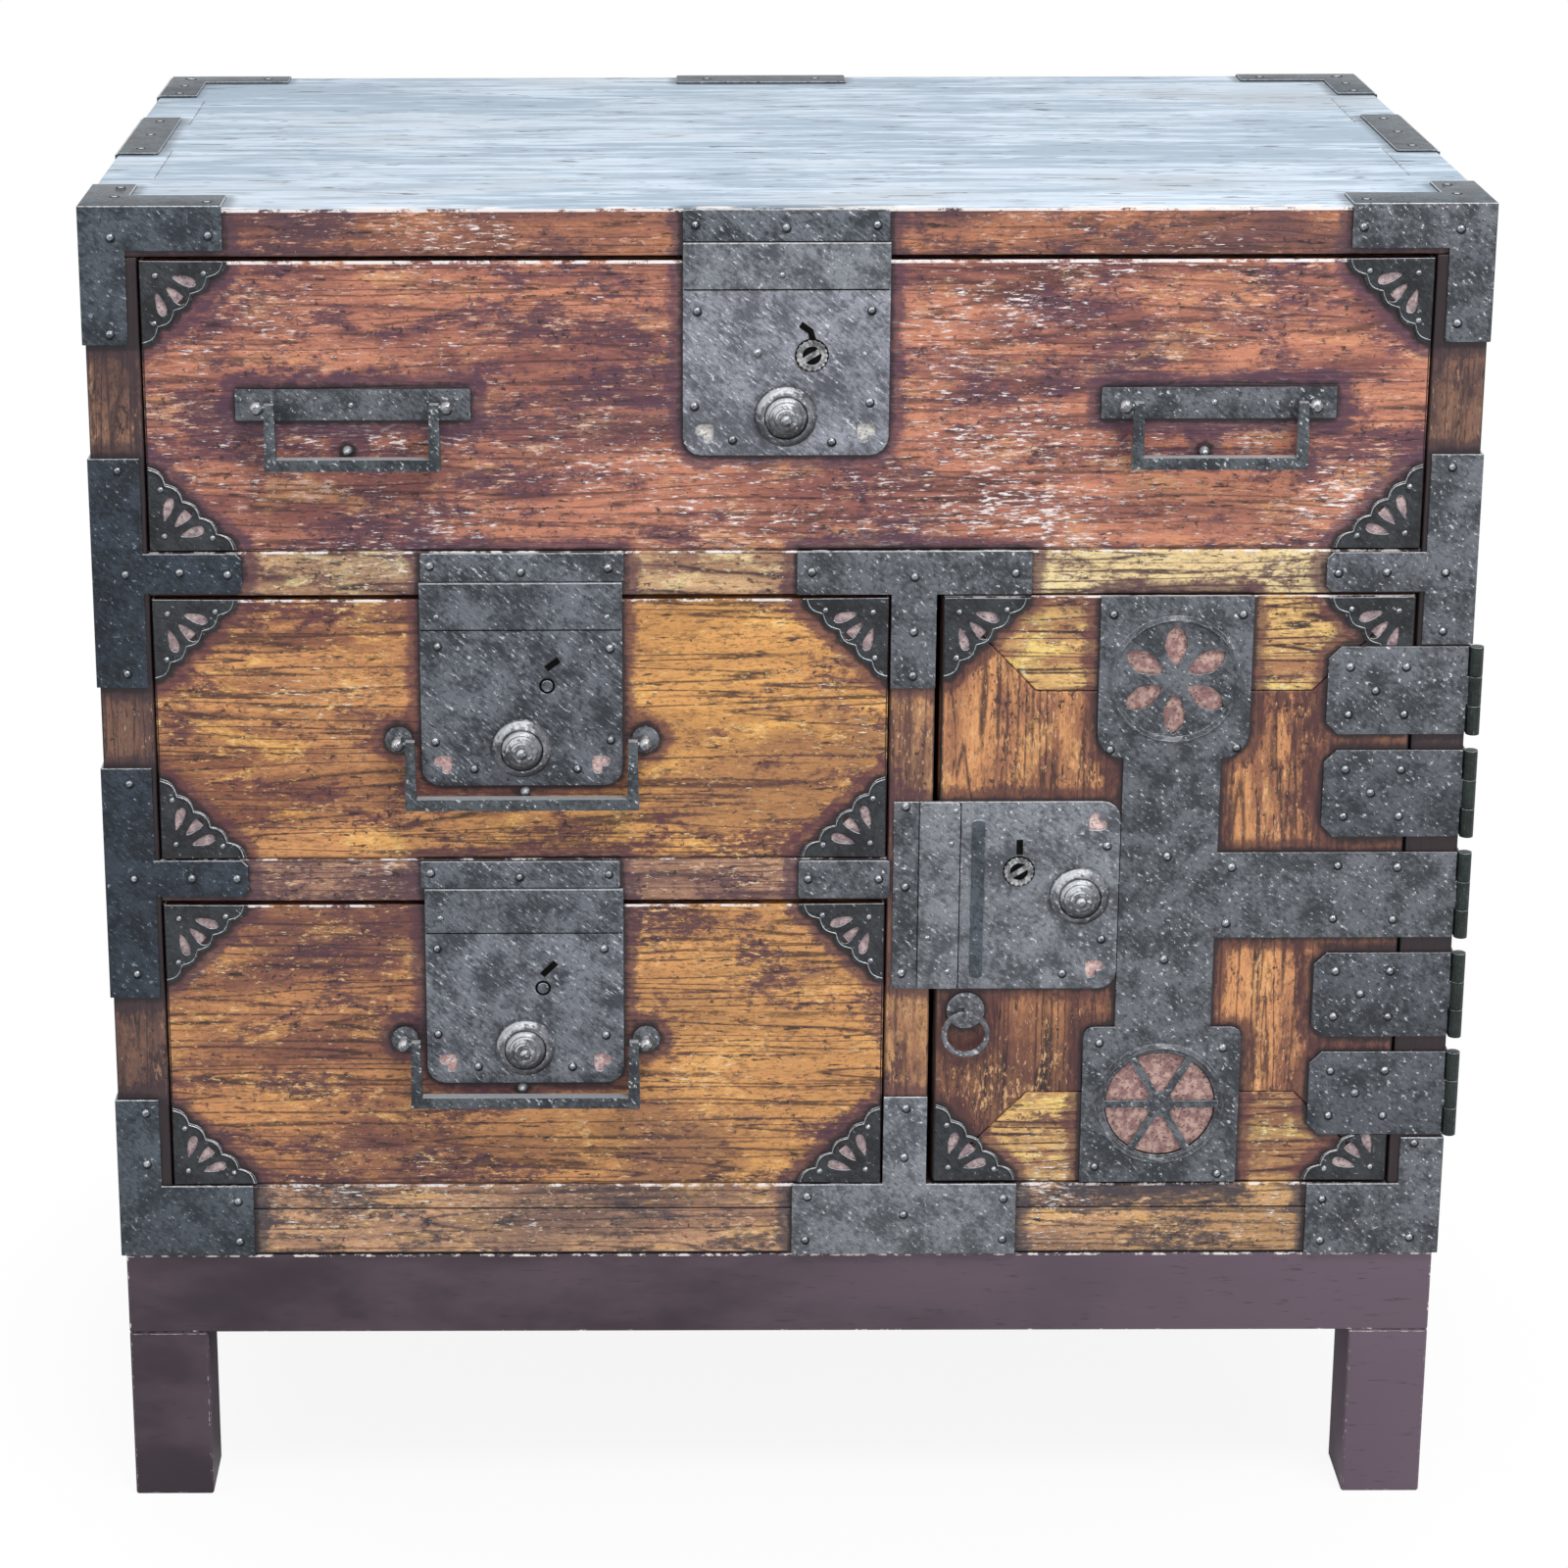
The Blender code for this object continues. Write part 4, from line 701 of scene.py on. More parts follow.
def buildFloor():
    bm = bmesh.new()
    bmesh.ops.create_grid(bm, x_segments=1, y_segments=1, size=9)
    mesh = bpy.data.meshes.new("floor")
    bm.to_mesh(mesh)
    bm.free()
    floor = addObject("floor", mesh)
    material, maker = newMaterial("paleFloor")
    plain = maker.node("BsdfDiffuse", {}, {"Color": studio["floor"]})
    glow = maker.node("Emission", {}, {"Color": white, "Strength": 1.0})
    seen = maker.node("LightPath", {}, {}, "Is Camera Ray")
    distance = maker.node("VectorMath", {"operation": "LENGTH"}, {0: maker.spot}, "Value")
    share = maker.step(distance, 0.35, 0.66) * 0.1 + 0.9  # near the stand a little shade shows
    surface = maker.node("MixShader", {}, {0: seen * share, 1: plain, 2: glow})
    maker.node("OutputMaterial", {}, {"Surface": surface})
    mesh.materials.append(material)
    floor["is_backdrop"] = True


def buildWorld():  # white where it is seen or mirrored, a soft light for all else
    scene.world = bpy.data.worlds.new("studio")
    maker = Maker(scene.world)
    kinds = ("Camera", "Glossy", "Transmission")
    rays = [maker.node("LightPath", {}, {}, f"Is {kind} Ray") for kind in kinds]
    seen = maker.step(rays[0] + rays[1] + rays[2], 0, 1)
    values = {"Color": studio["worldColour"], "Strength": studio["worldLight"]}
    light = maker.node("Background", {}, values)
    bright = maker.node("Background", {}, {"Color": white, "Strength": 1.0})
    surface = maker.node("MixShader", {}, {0: seen, 1: light, 2: bright})
    maker.node("OutputWorld", {}, {"Surface": surface})


def buildLamps():
    for name in ("key", "fill"):
        lamp = bpy.data.lights.new(name, "AREA")
        lamp.energy, lamp.size = studio[name]["power"], studio[name]["size"]
        place = Vector(studio[name]["place"])
        turn = (Vector((0, 0, 0.5)) - place).to_track_quat("-Z", "Y").to_matrix().to_4x4()
        addObject(name, lamp).matrix_world = Matrix.Translation(place) @ turn


def buildCamera():
    view = {
        "lens": 92.25, "shift": (0.0875, -0.10), "place": (-0.0917, -2.72005, 1.355),
        "tilt": 73.4, "roll": -0.14,
    }
    camera = addObject("camera", bpy.data.cameras.new("camera"))
    camera.data.sensor_width = 36
    camera.data.lens = view["lens"]
    camera.data.shift_x, camera.data.shift_y = view["shift"]
    turn = Matrix.Rotation(radians(view["tilt"]), 4, "X") @ Matrix.Rotation(radians(view["roll"]), 4, "Z")
    camera.matrix_world = Matrix.Translation(view["place"]) @ turn
    scene.camera = camera
    scene.view_settings.view_transform = "Standard"


buildFloor()
buildWorld()
buildLamps()
buildCamera()
print("stage, light and camera")

# iron that the frame gives, with its edges eased
plateNodes = ["door_centre_plate", "tee_upper", "tee_lower", "door_keeper"]
plateNodes += [name for name in nodes if name.startswith(("bracket_", "handle_plate_", "door_leaf_"))]
postNodes = [name for name in nodes if name.startswith("post_")]
caseLeafNodes = [name for name in nodes if name.startswith("case_leaf_")]
bailNodes = ["bail_top_left", "bail_top_right", "bail_middle", "bail_bottom"]
# the left brackets get a darker copy of the iron, painted shade where less light falls; tee_lower a paler one,
# painted light
ironOf = {
    "bracket_top_left": "darkIron", "bracket_bottom_left": "darkIron", "tee_lower": "paleIron",
    "door_leaf_2": "leafIron", "door_leaf_4": "leafIron", "door_leaf_5": "leafIron",
}
refined = {
    "plateCorner": 0.0035, "bailSwell": 0.0008, "eyeHeight": 0.012,  # the bails swell below their eyes
    "ballReach": 0.004, "barrelReach": 0.0004, "barrelDepth": 0.002,
    # how strongly light and shade are painted on the bails, the ring and the posts' balls
    "bailPaintedLight": 1.1, "ringPaintedLight": 0.7, "ballPaintedLight": 1.5,
}


def refineIron(names, finish, slot, width, angle=28, shares=(0.75, 0.4, 0)):
    for node in names:
        bail = node.startswith("bail_")
        longPlate = node.startswith("handle_plate_")
        posts = longPlate or node.startswith("post_")
        bm = mergedCopy(node)
        peak = max(v.co.z for v in bm.verts)
        if longPlate:  # the corners that are seen from the front
            corners = [e for e in bm.edges if abs((e.verts[0].co - e.verts[1].co).normalized().y) > 0.99]
            bevelled(bm, corners, refined["plateCorner"], 3)
        if node.startswith("bracket_top_"):
            for vert in [v for v in bm.verts if v.co.z > peak - nearly]:
                vert.co.z -= topDrop
        if bail:
            bm.normal_update()
            for vert in [v for v in bm.verts if v.co.z < peak - refined["eyeHeight"]]:
                vert.co += vert.normal * refined["bailSwell"] * vert.calc_shell_factor()
        easeEdges(bm, width, angle, shares)
        for face in bm.faces:  # the barrels beyond the corner are painted dark as shade; what looks up on the top gets a darker, bluer copy, painted for the light from above
            centre = face.calc_center_median()
            onTop = face.normal.z > 0.8 and centre.z > woodTop
            ball = posts and centre.y < ironFront - refined["ballReach"]
            barrel = centre.x > caseRight + refined["barrelReach"]
            barrel = barrel and centre.y < woodFront + refined["barrelDepth"]
            face.material_index = 3 if ball else 2 if onTop else 1 if barrel else 0
        # painted light above and painted shade below on the bails, the ring and the posts' balls
        if bail or node == "door_ring":
            paintLightFromAbove(bm, bm.faces, refined["bailPaintedLight" if bail else "ringPaintedLight"])
        if posts:
            paintLightFromAbove(bm, [f for f in bm.faces if f.material_index == 3], refined["ballPaintedLight"])
        choice = (ironOf.get(node, finish), "barrelIron", "topIron", "rivetIron")
        finishPiece(bm, node + "_eased", bodyOf(node), slot, choice, (node,))


refineIron(plateNodes, "plateIron", "plate_iron", 0.00055)
refineIron(caseLeafNodes, "plateIron", "plate_iron", 0.0004)
refineIron(bailNodes, "handleIron", "handle_iron", 0.0022, 28, (0.8, 0.2, 0))
refineIron(postNodes, "plateIron", "handle_iron", 0.0003, 60, (0.4, 0.2, 0))
refineIron(["door_ring", "ring_staple"], "domeIron", "handle_iron", 0.0002, 70, (0.2, 0.2, 0))
print("eased iron")

# locks: the plate with its openings, the raised collar and the button that carries it on
lock = {
    "corner": 12, "heart": 8.4, "heartAcross": 50, "heartUp": 15.5, "bore": 13.7, "ease": 0.45,
    "collarGrooves": [(19.4, 21), (13, 14.4)], "domeGrooves": [(3.5, 4.3), (7.1, 7.6), (10.5, 11.1)],
    "collar": [
        (20.0, -0.3), (19.9, 0.7), (19.2, 2.3), (17.8, 3.9), (16.0, 5.3), (14.9, 5.9), (14.1, 6.1),
        (13.75, 5.8), (13.75, -0.3),
    ],
    "dome": [
        (0, 1), (0.12, 0.985), (0.2, 0.94), (0.26, 0.87), (0.29, 0.8), (0.34, 0.775), (0.46, 0.755),
        (0.54, 0.72), (0.57, 0.68), (0.62, 0.66), (0.73, 0.62), (0.8, 0.57), (0.83, 0.53), (0.9, 0.49),
        (0.97, 0.43), (1, 0.36),
    ],
    # how strongly light and shade are painted on the collar and the dome, and the painted shade in their
    # grooves
    "steps": 44, "grime": -0.38, "collarRub": 1.2, "domeRub": 1.5,
}
locks = {
    "top": {"body": "drawer_top", "finish": "topLockIron"},
    "middle": {"body": "drawer_middle", "finish": "lockIron"},
    "bottom": {"body": "drawer_bottom", "finish": "lowLockIron"},
    "door": {"body": "door", "finish": "paleIron"},
}


def lockSpot(name, across, up):
    # millimetres from the foot of a lock's middle line; the door's lock lies on its side
    low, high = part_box("lock_plate_" + name)
    if name == "door":
        return (high.x - caseX) / millimetre - up, (low.z + high.z) / 2 / millimetre + across
    return ((low.x + high.x) / 2 - caseX) / millimetre + across, low.z / millimetre + up


def lockSize(name):
    low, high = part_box("lock_plate_" + name)
    size = [(high.x - low.x) / millimetre, (high.z - low.z) / millimetre]
    return size[::-1] if name == "door" else size


def darken(bm, centre, bands):
    # painted shade in the grooves of a turned piece: bands of radius, in millimetres
    edge = bm.faces.layers.float["edge"]
    for face in bm.faces:
        place = face.calc_center_median() - centre
        radius = Vector((place.x, place.z)).length / millimetre
        if any(low < radius < high for low, high in bands):
            face[edge] = lock["grime"]


def turned(bm, profile, centre, closed=False):
    # spins a profile of radius and reach round the line through centre that points at the viewer
    verts = [bm.verts.new(centre + Vector((r, -h, 0)) * millimetre) for r, h in profile]
    pairs = list(zip(verts, verts[1:])) + ([(verts[-1], verts[0])] if closed else [])
    edges = [bm.edges.new(pair) for pair in pairs]
    bmesh.ops.spin(
        bm, geom=verts + edges, cent=centre, axis=(0, 1, 0), angle=2 * pi,
        steps=lock["steps"], use_merge=True,
    )
    bmesh.ops.remove_doubles(bm, verts=bm.verts, dist=weld)
    bmesh.ops.recalc_face_normals(bm, faces=bm.faces)


def heartOutline(name, side):
    # the old boar-eye opening: its point towards the lock's middle, its notch towards the corner
    half = [
        (0.16, 0.5), (0.36, 0.62), (0.6, 0.6), (0.78, 0.42), (0.8, 0.18), (0.66, -0.12), (0.42, -0.4),
        (0.18, -0.62),
    ]
    shape = [(0, 0.36)] + half + [(0, -0.74)] + [(-x, z) for x, z in half[::-1]]
    turn = radians(-135 if side > 0 else 135)
    points = []
    for x, z in shape:
        x, z = x * lock["heart"], z * lock["heart"]
        across = side * lock["heartAcross"] + x * cos(turn) - z * sin(turn)
        points.append(lockSpot(name, across, lock["heartUp"] + x * sin(turn) + z * cos(turn)))
    return points


def buildLocks():
    for name, own in locks.items():
        breadth, length = lockSize(name)
        half, c = breadth / 2, lock["corner"]
        arc = [(c * (1 - cos(radians(a))), c * (1 - sin(radians(a)))) for a in (22, 45, 68)]
        outline = [(half, length), (-half, length), (-half, c)] + [(-half + u, v) for u, v in arc]
        outline += [(-half + c, 0), (half - c, 0)] + [(half - u, v) for u, v in arc[::-1]] + [(half, c)]
        low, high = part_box("button_" + name)
        centre = Vector(((low.x + high.x) / 2, ironFront, (low.z + high.z) / 2))
        bore = ringOf((centre.x - caseX) / millimetre, centre.z / millimetre, lock["bore"], 28)
        outlines = [[lockSpot(name, u, v) for u, v in outline], bore]
        outlines += [heartOutline(name, 1), heartOutline(name, -1)]
        bm = startPiece()
        addPlate(bm, outlines, Vector((caseX, woodFront - fitGap, 0)), ease=lock["ease"])
        finishPiece(bm, "lock_" + name, own["body"], "plate_iron", own["finish"], ("lock_plate_" + name,))
        collar = startPiece()
        turned(collar, lock["collar"], centre, closed=True)
        # painted light above and painted shade below on the collar
        paintLightFromAbove(collar, collar.faces, lock["collarRub"])
        darken(collar, centre, lock["collarGrooves"])
        finishPiece(collar, "collar_" + name, own["body"], "plate_iron", "domeIron")
        radius = (high.x - low.x) / 2 / millimetre
        reach, foot = (ironFront - low.y) / millimetre, (ironFront - high.y) / millimetre
        profile = [(r * radius, h * reach) for r, h in lock["dome"]] + [(radius, foot), (0, foot)]
        dome = startPiece()
        turned(dome, profile, centre)
        # and on the button's dome
        paintLightFromAbove(dome, dome.faces, lock["domeRub"])
        darken(dome, centre, lock["domeGrooves"])
        button = "button_" + name
        finishPiece(dome, "dome_" + name, bodyOf(button), "handle_iron", "domeIron", (button,))


buildLocks()
print("locks")

# straps, strips and flaps that the frame leaves to the looks
straps = {
    "strip_top": box(-65, 870.4, 64, 890.4, 1.5),
    "strip_middle": box(-232.6, 650.2, -102.7, 669.0, 1.5),
    "strip_bottom": box(-236, 442.2, -106, 460.6, 1.5),
    "rail_strap": box(10.5, 434.5, 70, 460.5, 2),
}
sideBrackets = {  # the side, the post's low and high end, the arm's low and high edge and its end
    "bracket_left_upper": (-1, 580, 731.5, 642.8, 669, 346.3),
    "bracket_left_lower": (-1, 366, 525, 436.7, 461.5, 348.5),
    "bracket_right_middle": (1, 607, 732.5, 642.3, 668.3, 346),
}
sideShape = {"inner": 409, "corner": 4, "wrap": 40}


def tee(sign, low, high, armLow, armHigh, end):
    # a bracket's outline: an upright along the side and an arm whose end has its corners cut
    inner, r = sideShape["inner"], sideShape["corner"]
    outer = (caseRight + fitGap + plateThickness - caseX) / millimetre
    points = [(outer, low), (outer, high), (inner, high), (inner, armHigh), (end + r, armHigh)]
    points += [(end, armHigh - r), (end, armLow + r), (end + r, armLow), (inner, armLow), (inner, low)]
    return [(sign * x, z) for x, z in points]


def addSideWrap(bm, sign, near, far, low, high):
    # a plate on the left (-1) or the right side of the case, in millimetres from near to far
    face = caseLeft - fitGap if sign < 0 else caseRight + fitGap
    outline = box(near, low, far, high) if sign > 0 else box(-far, low, -near, high)
    addPlate(bm, [outline], Vector((face, 0, 0)), turn=Matrix.Rotation(sign * pi / 2, 4, "Z") @ standUp)


def buildStraps():
    back = Vector((caseX, woodFront - fitGap, 0))
    for name, outline in straps.items():
        platePiece(name, "case", "lockIron" if "strip" in name else "plateIron", outline, back)
    for name, (sign, low, high, *arm) in sideBrackets.items():
        bm = startPiece()
        addPlate(bm, [tee(sign, low, high, *arm)], back)
        near, far = (woodFront - fitGap) / millimetre, woodFront / millimetre + sideShape["wrap"]
        addSideWrap(bm, sign, near, far, low, high)
        # the left side brackets are painted darker as shade
        finishPiece(bm, name, "case", "plate_iron", "deepIron" if sign < 0 else "plateIron")


# the hinged part of each lock plate laps over the rail and stands a little proud; seams are heights,
# but the door's is a place across
flap = {
    "thickness": 0.0009, "ease": 0.4, "margin": 0.3, "barThickness": 0.0013,
    "seams": {"top": 839.7, "middle": 618.1, "bottom": 410.9, "door": 115.5},
}


def buildFlaps():
    front = Vector((caseX, ironFront, 0))
    margin = flap["margin"]
    for name, seam in flap["seams"].items():
        low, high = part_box("lock_plate_" + name)
        x0, x1 = (low.x - caseX) / millimetre + margin, (high.x - caseX) / millimetre - margin
        z0, z1 = low.z / millimetre + margin, high.z / millimetre - margin
        outline = box(x0, seam + 0.4, x1, z1 + 0.1, 1.2)
        shadowStrip = box(x0 + 0.4, seam - 0.5, x1 - 0.4, seam + 0.6)
        if name == "door":
            outline, shadowStrip = box(x0, z0, seam, z1, 3), box(seam - 0.5, z0 + 0.5, seam + 0.7, z1 - 0.5)
        body = locks[name]["body"]
        finish = "paleIron" if name in ("top", "door") else "lockIron"
        platePiece("flap_" + name, body, finish, outline, front, flap["thickness"], flap["ease"])
        # a dark strip along the flap's foot: a painted shadow of its edge
        platePiece("flap_seam_" + name, body, "keyHoleDark", shadowStrip, front, film, thinEase)
    bar = box(123.4, 379, 131.6, 489, 2.5)
    platePiece("lock_bar_door", "door", "darkIron", bar, front, flap["barThickness"], flap["ease"])


# seen from above: x from the middle, y back from the front
topStraps = {
    "strap_top_left": [(-440, 190, -413, 335)],
    "strap_top_right": [(413, 190, 440, 335)],
    "strap_rear_left": [(-440, 430, -413, 520), (-440, 493, -352, 520)],
    "strap_rear_right": [(413, 430, 440, 520), (352, 493, 440, 520)],
    "strap_rear_centre": [(-65, 488, 60, 520)],
}


def buildTopStraps():
    width, drop = 27, 36  # drop is how far they reach down the sides and the back
    top = (woodTop + fitGap) / millimetre
    front = woodFront / millimetre
    for name, blocks in topStraps.items():
        x0, x1 = min(b[0] for b in blocks), max(b[2] for b in blocks)
        y0, y1 = min(b[1] for b in blocks), max(b[3] for b in blocks)
        bend = y1 - width
        if len(blocks) == 1:
            outline = box(x0, y0, x1, y1, 2)
        elif x0 < 0:
            outline = [(x0, y0), (x0 + width, y0), (x0 + width, bend), (x1, bend), (x1, y1), (x0, y1)]
        else:
            outline = [(x1, y0), (x1, y1), (x0, y1), (x0, bend), (x1 - width, bend), (x1 - width, y0)]
        bm = startPiece()
        place = Vector((caseX, woodFront, woodTop + fitGap))
        addPlate(bm, [outline], place, plateThickness - topDrop, turn=flat)
        if "centre" not in name:  # down the side
            addSideWrap(bm, -1 if x0 < 0 else 1, front + y0, front + y1, top - drop, top)
        if "rear" in name:  # down the back
            turn = Matrix.Rotation(pi, 4, "Z") @ standUp
            outline = box(-x1, top - drop, -x0, top)
            addPlate(bm, [outline], Vector((caseX, caseRear + fitGap, 0)), turn=turn)
        # the top straps take the copy painted for the light on the top
        finishPiece(bm, name, "case", "plate_iron", "topIron")


buildStraps()
buildFlaps()
buildTopStraps()
print("straps and flaps")

# pierced fans on the corners of the drawers and the door, over a paler layer
fan = {
    "leg": 55.0, "scallops": 5, "bulge": 3.4, "thickness": 0.0011, "lift": 0.00035, "ease": 0.3,
    "rim": 0.85, "rimInset": 1.6, "rimFlat": 0.7,
    "inset": 0.8, "underThickness": 0.0002, "underLift": 0.0001, "hingeGap": 0.0006,
    "petals": [((27.5, 12.2), 18), ((21.8, 21.8), 45), ((12.2, 27.5), 72)],
    "petalLength": 15.5, "petalWidth": 8.0, "rivets": [(40.1, 8.2), (9.6, 9.6), (8.2, 40.1)],
}
fanFront = woodFront - fan["lift"] - fan["thickness"]


def fanHem(inset):
    # the scalloped long side, from the foot of one leg to the other
    leg, count, bulge = fan["leg"] - inset * 1.4, fan["scallops"], fan["bulge"]
    points = []
    for number in range(count):
        for part in range(6):
            share = (number + part / 6) / count
            out = bulge * sin(pi * part / 6) * 0.9
            points.append((leg * (1 - share) + out * 0.7, leg * share + out * 0.7))
    points.append((0, leg))
    return [(max(x, 0.4), max(z, 0.4)) for x, z in points]


def petalOutline(centre, angle):
    # round at its outer end, narrow towards the corner
    length, width = fan["petalLength"], fan["petalWidth"]
    c, s = cos(radians(angle)), sin(radians(angle))
    points = []
    for number in range(14):
        turn = 2 * pi * number / 14
        along = cos(turn) * length / 2
        across = sin(turn) * width / 2 * (0.72 + 0.34 * cos(turn))
        points.append((centre[0] + along * c - across * s, centre[1] + along * s + across * c))
    return points


def fanCorners():
    # for each drawer front and the door: its name, its body and its four corners, each with the
    # way into the board (1 or -1) across and up
    hosts = {name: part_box(f"drawer_{name}_front") for name in drawerNames}
    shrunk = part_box("door_bottom_clamp")[0] + Vector((doorShrink, 0, 0))
    hosts["door"] = (shrunk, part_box("door_top_clamp")[1])
    inset = fan["inset"] * millimetre
    for host, (low, high) in hosts.items():
        corners = []
        for sx, sz in ((1, 1), (-1, 1), (1, -1), (-1, -1)):
            x = low.x + inset if sx > 0 else high.x - inset
            z = low.z + inset if sz > 0 else high.z - inset
            corners.append((x, z, sx, sz))
        yield host, "door" if host == "door" else "drawer_" + host, corners


def addCord(bm, place, mirror):
    # the raised cord that follows the scallops
    settings = {
        "dimensions": "3D", "bevel_depth": fan["rim"], "bevel_resolution": 1, "use_fill_caps": True,
    }
    mesh = curveMesh([fanHem(fan["rimInset"])], settings, closed=False)
    size = millimetre * mirror[0], millimetre * mirror[1], millimetre * fan["rimFlat"]
    scale = Matrix.Diagonal((*size, 1))
    faces = addMesh(bm, mesh, Matrix.Translation(place) @ standUp @ scale)
    edge = bm.faces.layers.float["edge"]
    # the cord is painted brighter where it looks up: painted highlight
    for face in faces:
        face[edge] = 0.8 if face.normal.z > 0.1 else 0.35


def buildFans():
    outlines = [[(0, 0)] + fanHem(0)] + [petalOutline(centre, angle) for centre, angle in fan["petals"]]
    inner = [(1, 1), (fan["leg"] - 6, 1), (1, fan["leg"] - 6)]
    for host, body, corners in fanCorners():
        for x, z, sx, sz in corners:
            name = f"fan_{host}_{'low' if sz > 0 else 'high'}_{'left' if sx > 0 else 'right'}"
            under = startPiece()
            place = Vector((x, woodFront - fan["underLift"], z))
            addPlate(under, [inner], place, fan["underThickness"], thinEase, mirror=(sx, sz))
            bm = startPiece()
            place = Vector((x, woodFront - fan["lift"], z))
            addPlate(bm, outlines, place, fan["thickness"], fan["ease"], mirror=(sx, sz))
            addCord(bm, Vector((x, fanFront, z)), (sx, sz))
            if host == "door" and sx < 0:  # the outer hinges lie over these two
                leafLow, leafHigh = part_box("door_leaf_5" if sz > 0 else "door_leaf_1")
                limit = leafLow.z - fan["hingeGap"] if sz > 0 else leafHigh.z + fan["hingeGap"]
                for part in (bm, under):
                    cut(part, (0, 0, limit), (0, 0, sz), True)
                    rim = [e for e in part.edges if e.is_boundary]
                    bmesh.ops.holes_fill(part, edges=rim, sides=0)
            finishPiece(bm, name, body, "plate_iron", "fanIron")
            slot = "door_wood" if host == "door" else "drawer_wood"
            finishPiece(under, name + "_underlay", body, slot, "mauveUnderlay")


buildFans()
print("fans")

# rivets, in millimetres on the front
# the dark rings a little below the rivets are painted shadow: their radius, shift and radius on the top
rivet = {
    "radius": 2.5, "height": 2.0, "spread": (0.92, 1.1), "flapLift": 0.0008,
    "grime": 3.1, "shadowShift": (0.2, -0.5), "topShadow": 3.4,
}
domes = {  # radius and height of the others, in metres
    "flap": (0.002, 0.0014), "handle": (0.0021, 0.002), "lockStud": (0.003, 0.0016),
    "top": (0.0022, topDrop * 0.9), "stud": (0.0034, 0.0062), "fan": (0.002, 0.0017),
}
rivetPlaces = {
    "case": [
        (-421.6, 873.6), (-360.6, 874.7), (-424.1, 811.9), (358.8, 878.5), (419.3, 877.1), (420.2, 817.3),
        (-422.8, 723.8), (-420.5, 655.4), (-386, 656.6), (-355.4, 655.2), (-421.8, 589.2),
        (-423.5, 514.7), (-422.9, 449.2), (-385.1, 449.1), (-355.7, 449), (-423.5, 382.7),
        (-421.5, 283.6), (-422.2, 246.8), (-362.3, 219.6), (-361.9, 190.2),
        (422.2, 724.2), (353.4, 654.7), (384.1, 655.2), (421.6, 655.1), (421.9, 616),
        (422.2, 260.1), (362.6, 219.7), (362.7, 189.5), (422.5, 191.5),
        (17.4, 656.2), (83.2, 652.8), (147.6, 655.2), (83.1, 616.2), (83, 586.6), (16.8, 448),
        (62.9, 447.9), (83.4, 285.7), (82.7, 250.4), (18.2, 222.1), (149.4, 220.3), (82.7, 209),
        (17.1, 190.5), (149.4, 190.9), (-57.3, 880.8), (-0.5, 878.8), (56.2, 880.5), (-226.5, 660.7),
        (-168.4, 656.7), (-112.7, 659.1), (-229.5, 452.7), (-171.4, 449.9), (-113.1, 451.8),
        (80, 497.9), (80.3, 442.4), (78.5, 382),
    ],
    "drawer_top": [(-56, 826), (53.3, 826.4), (-57.8, 764.9), (52.8, 767.2), (-33.6, 743.2), (29, 741.8)],
    "drawer_middle": [
        (-222.4, 607.1), (-111.7, 605.5), (-224.8, 542.9), (-111.4, 544), (-199.8, 524.5), (-133.1, 524.5),
    ],
    "drawer_bottom": [
        (-226, 400.1), (-116.6, 399.8), (-226.4, 339.9), (-115.6, 338.9), (-200.2, 316.6), (-137.9, 316.6),
    ],
    "door": [
        (211.3, 470.5), (209.4, 405.8), (184.4, 381.7), (211, 627.6), (293.8, 627.4), (211.2, 536.4),
        (293, 537.6), (250.6, 463), (251.1, 391.2), (210.3, 332.4), (292.2, 328.7), (209.7, 243.6),
        (291.7, 238.4), (293, 455.4), (290.7, 416.5), (362.1, 456.6), (401.1, 455.1), (360.6, 419.8),
        (399.8, 419),
    ],
}
leafRivets = [(364, 16), (400, 16), (381, 0), (364, -16), (400, -16)]  # heights from a leaf's middle
for low, high in ((546.5, 605.5), (476.9, 536), (337.6, 395.7), (265.2, 327)):
    rivetPlaces["door"] += [(x, (low + high) / 2 + rise) for x, rise in leafRivets]
proudRivets = {  # on the flaps, which stand proud of their plates
    "drawer_top": [(-2.7, 849)],
    "drawer_middle": [(-222.7, 626.8), (-113.5, 626.5)],
    "drawer_bottom": [(-223.7, 421.4), (-118.4, 421.1)],
    "door": [(112.5, 495), (109.8, 472.2), (95.4, 406.8), (108.9, 383.3)],
}
handleRivets = [(-274, 766.1), (270.3, 766.6)]
lockStud = (-17.8, 798.9)  # a low stud on the top lock, left of its rosette
restStuds = {
    "drawer_top": [(-277, 736), (265, 734.5)], "drawer_middle": [(-167, 508.5)], "drawer_bottom": [(-171, 301)],
}


def topRivets():
    # in millimetres from the middle of the case and back from its front
    places = [(-422, 30), (-362, 12), (-422, 62), (422, 30), (362, 12), (422, 62)]
    for x0, y0, x1, y1 in [corners for blocks in topStraps.values() for corners in blocks]:
        spots = [(0.18, 0.5), (0.82, 0.5)] if x1 - x0 > y1 - y0 else [(0.5, 0.12), (0.5, 0.5), (0.5, 0.88)]
        places += [(x0 + (x1 - x0) * sx, y0 + (y1 - y0) * sy) for sx, sy in spots]
    return places


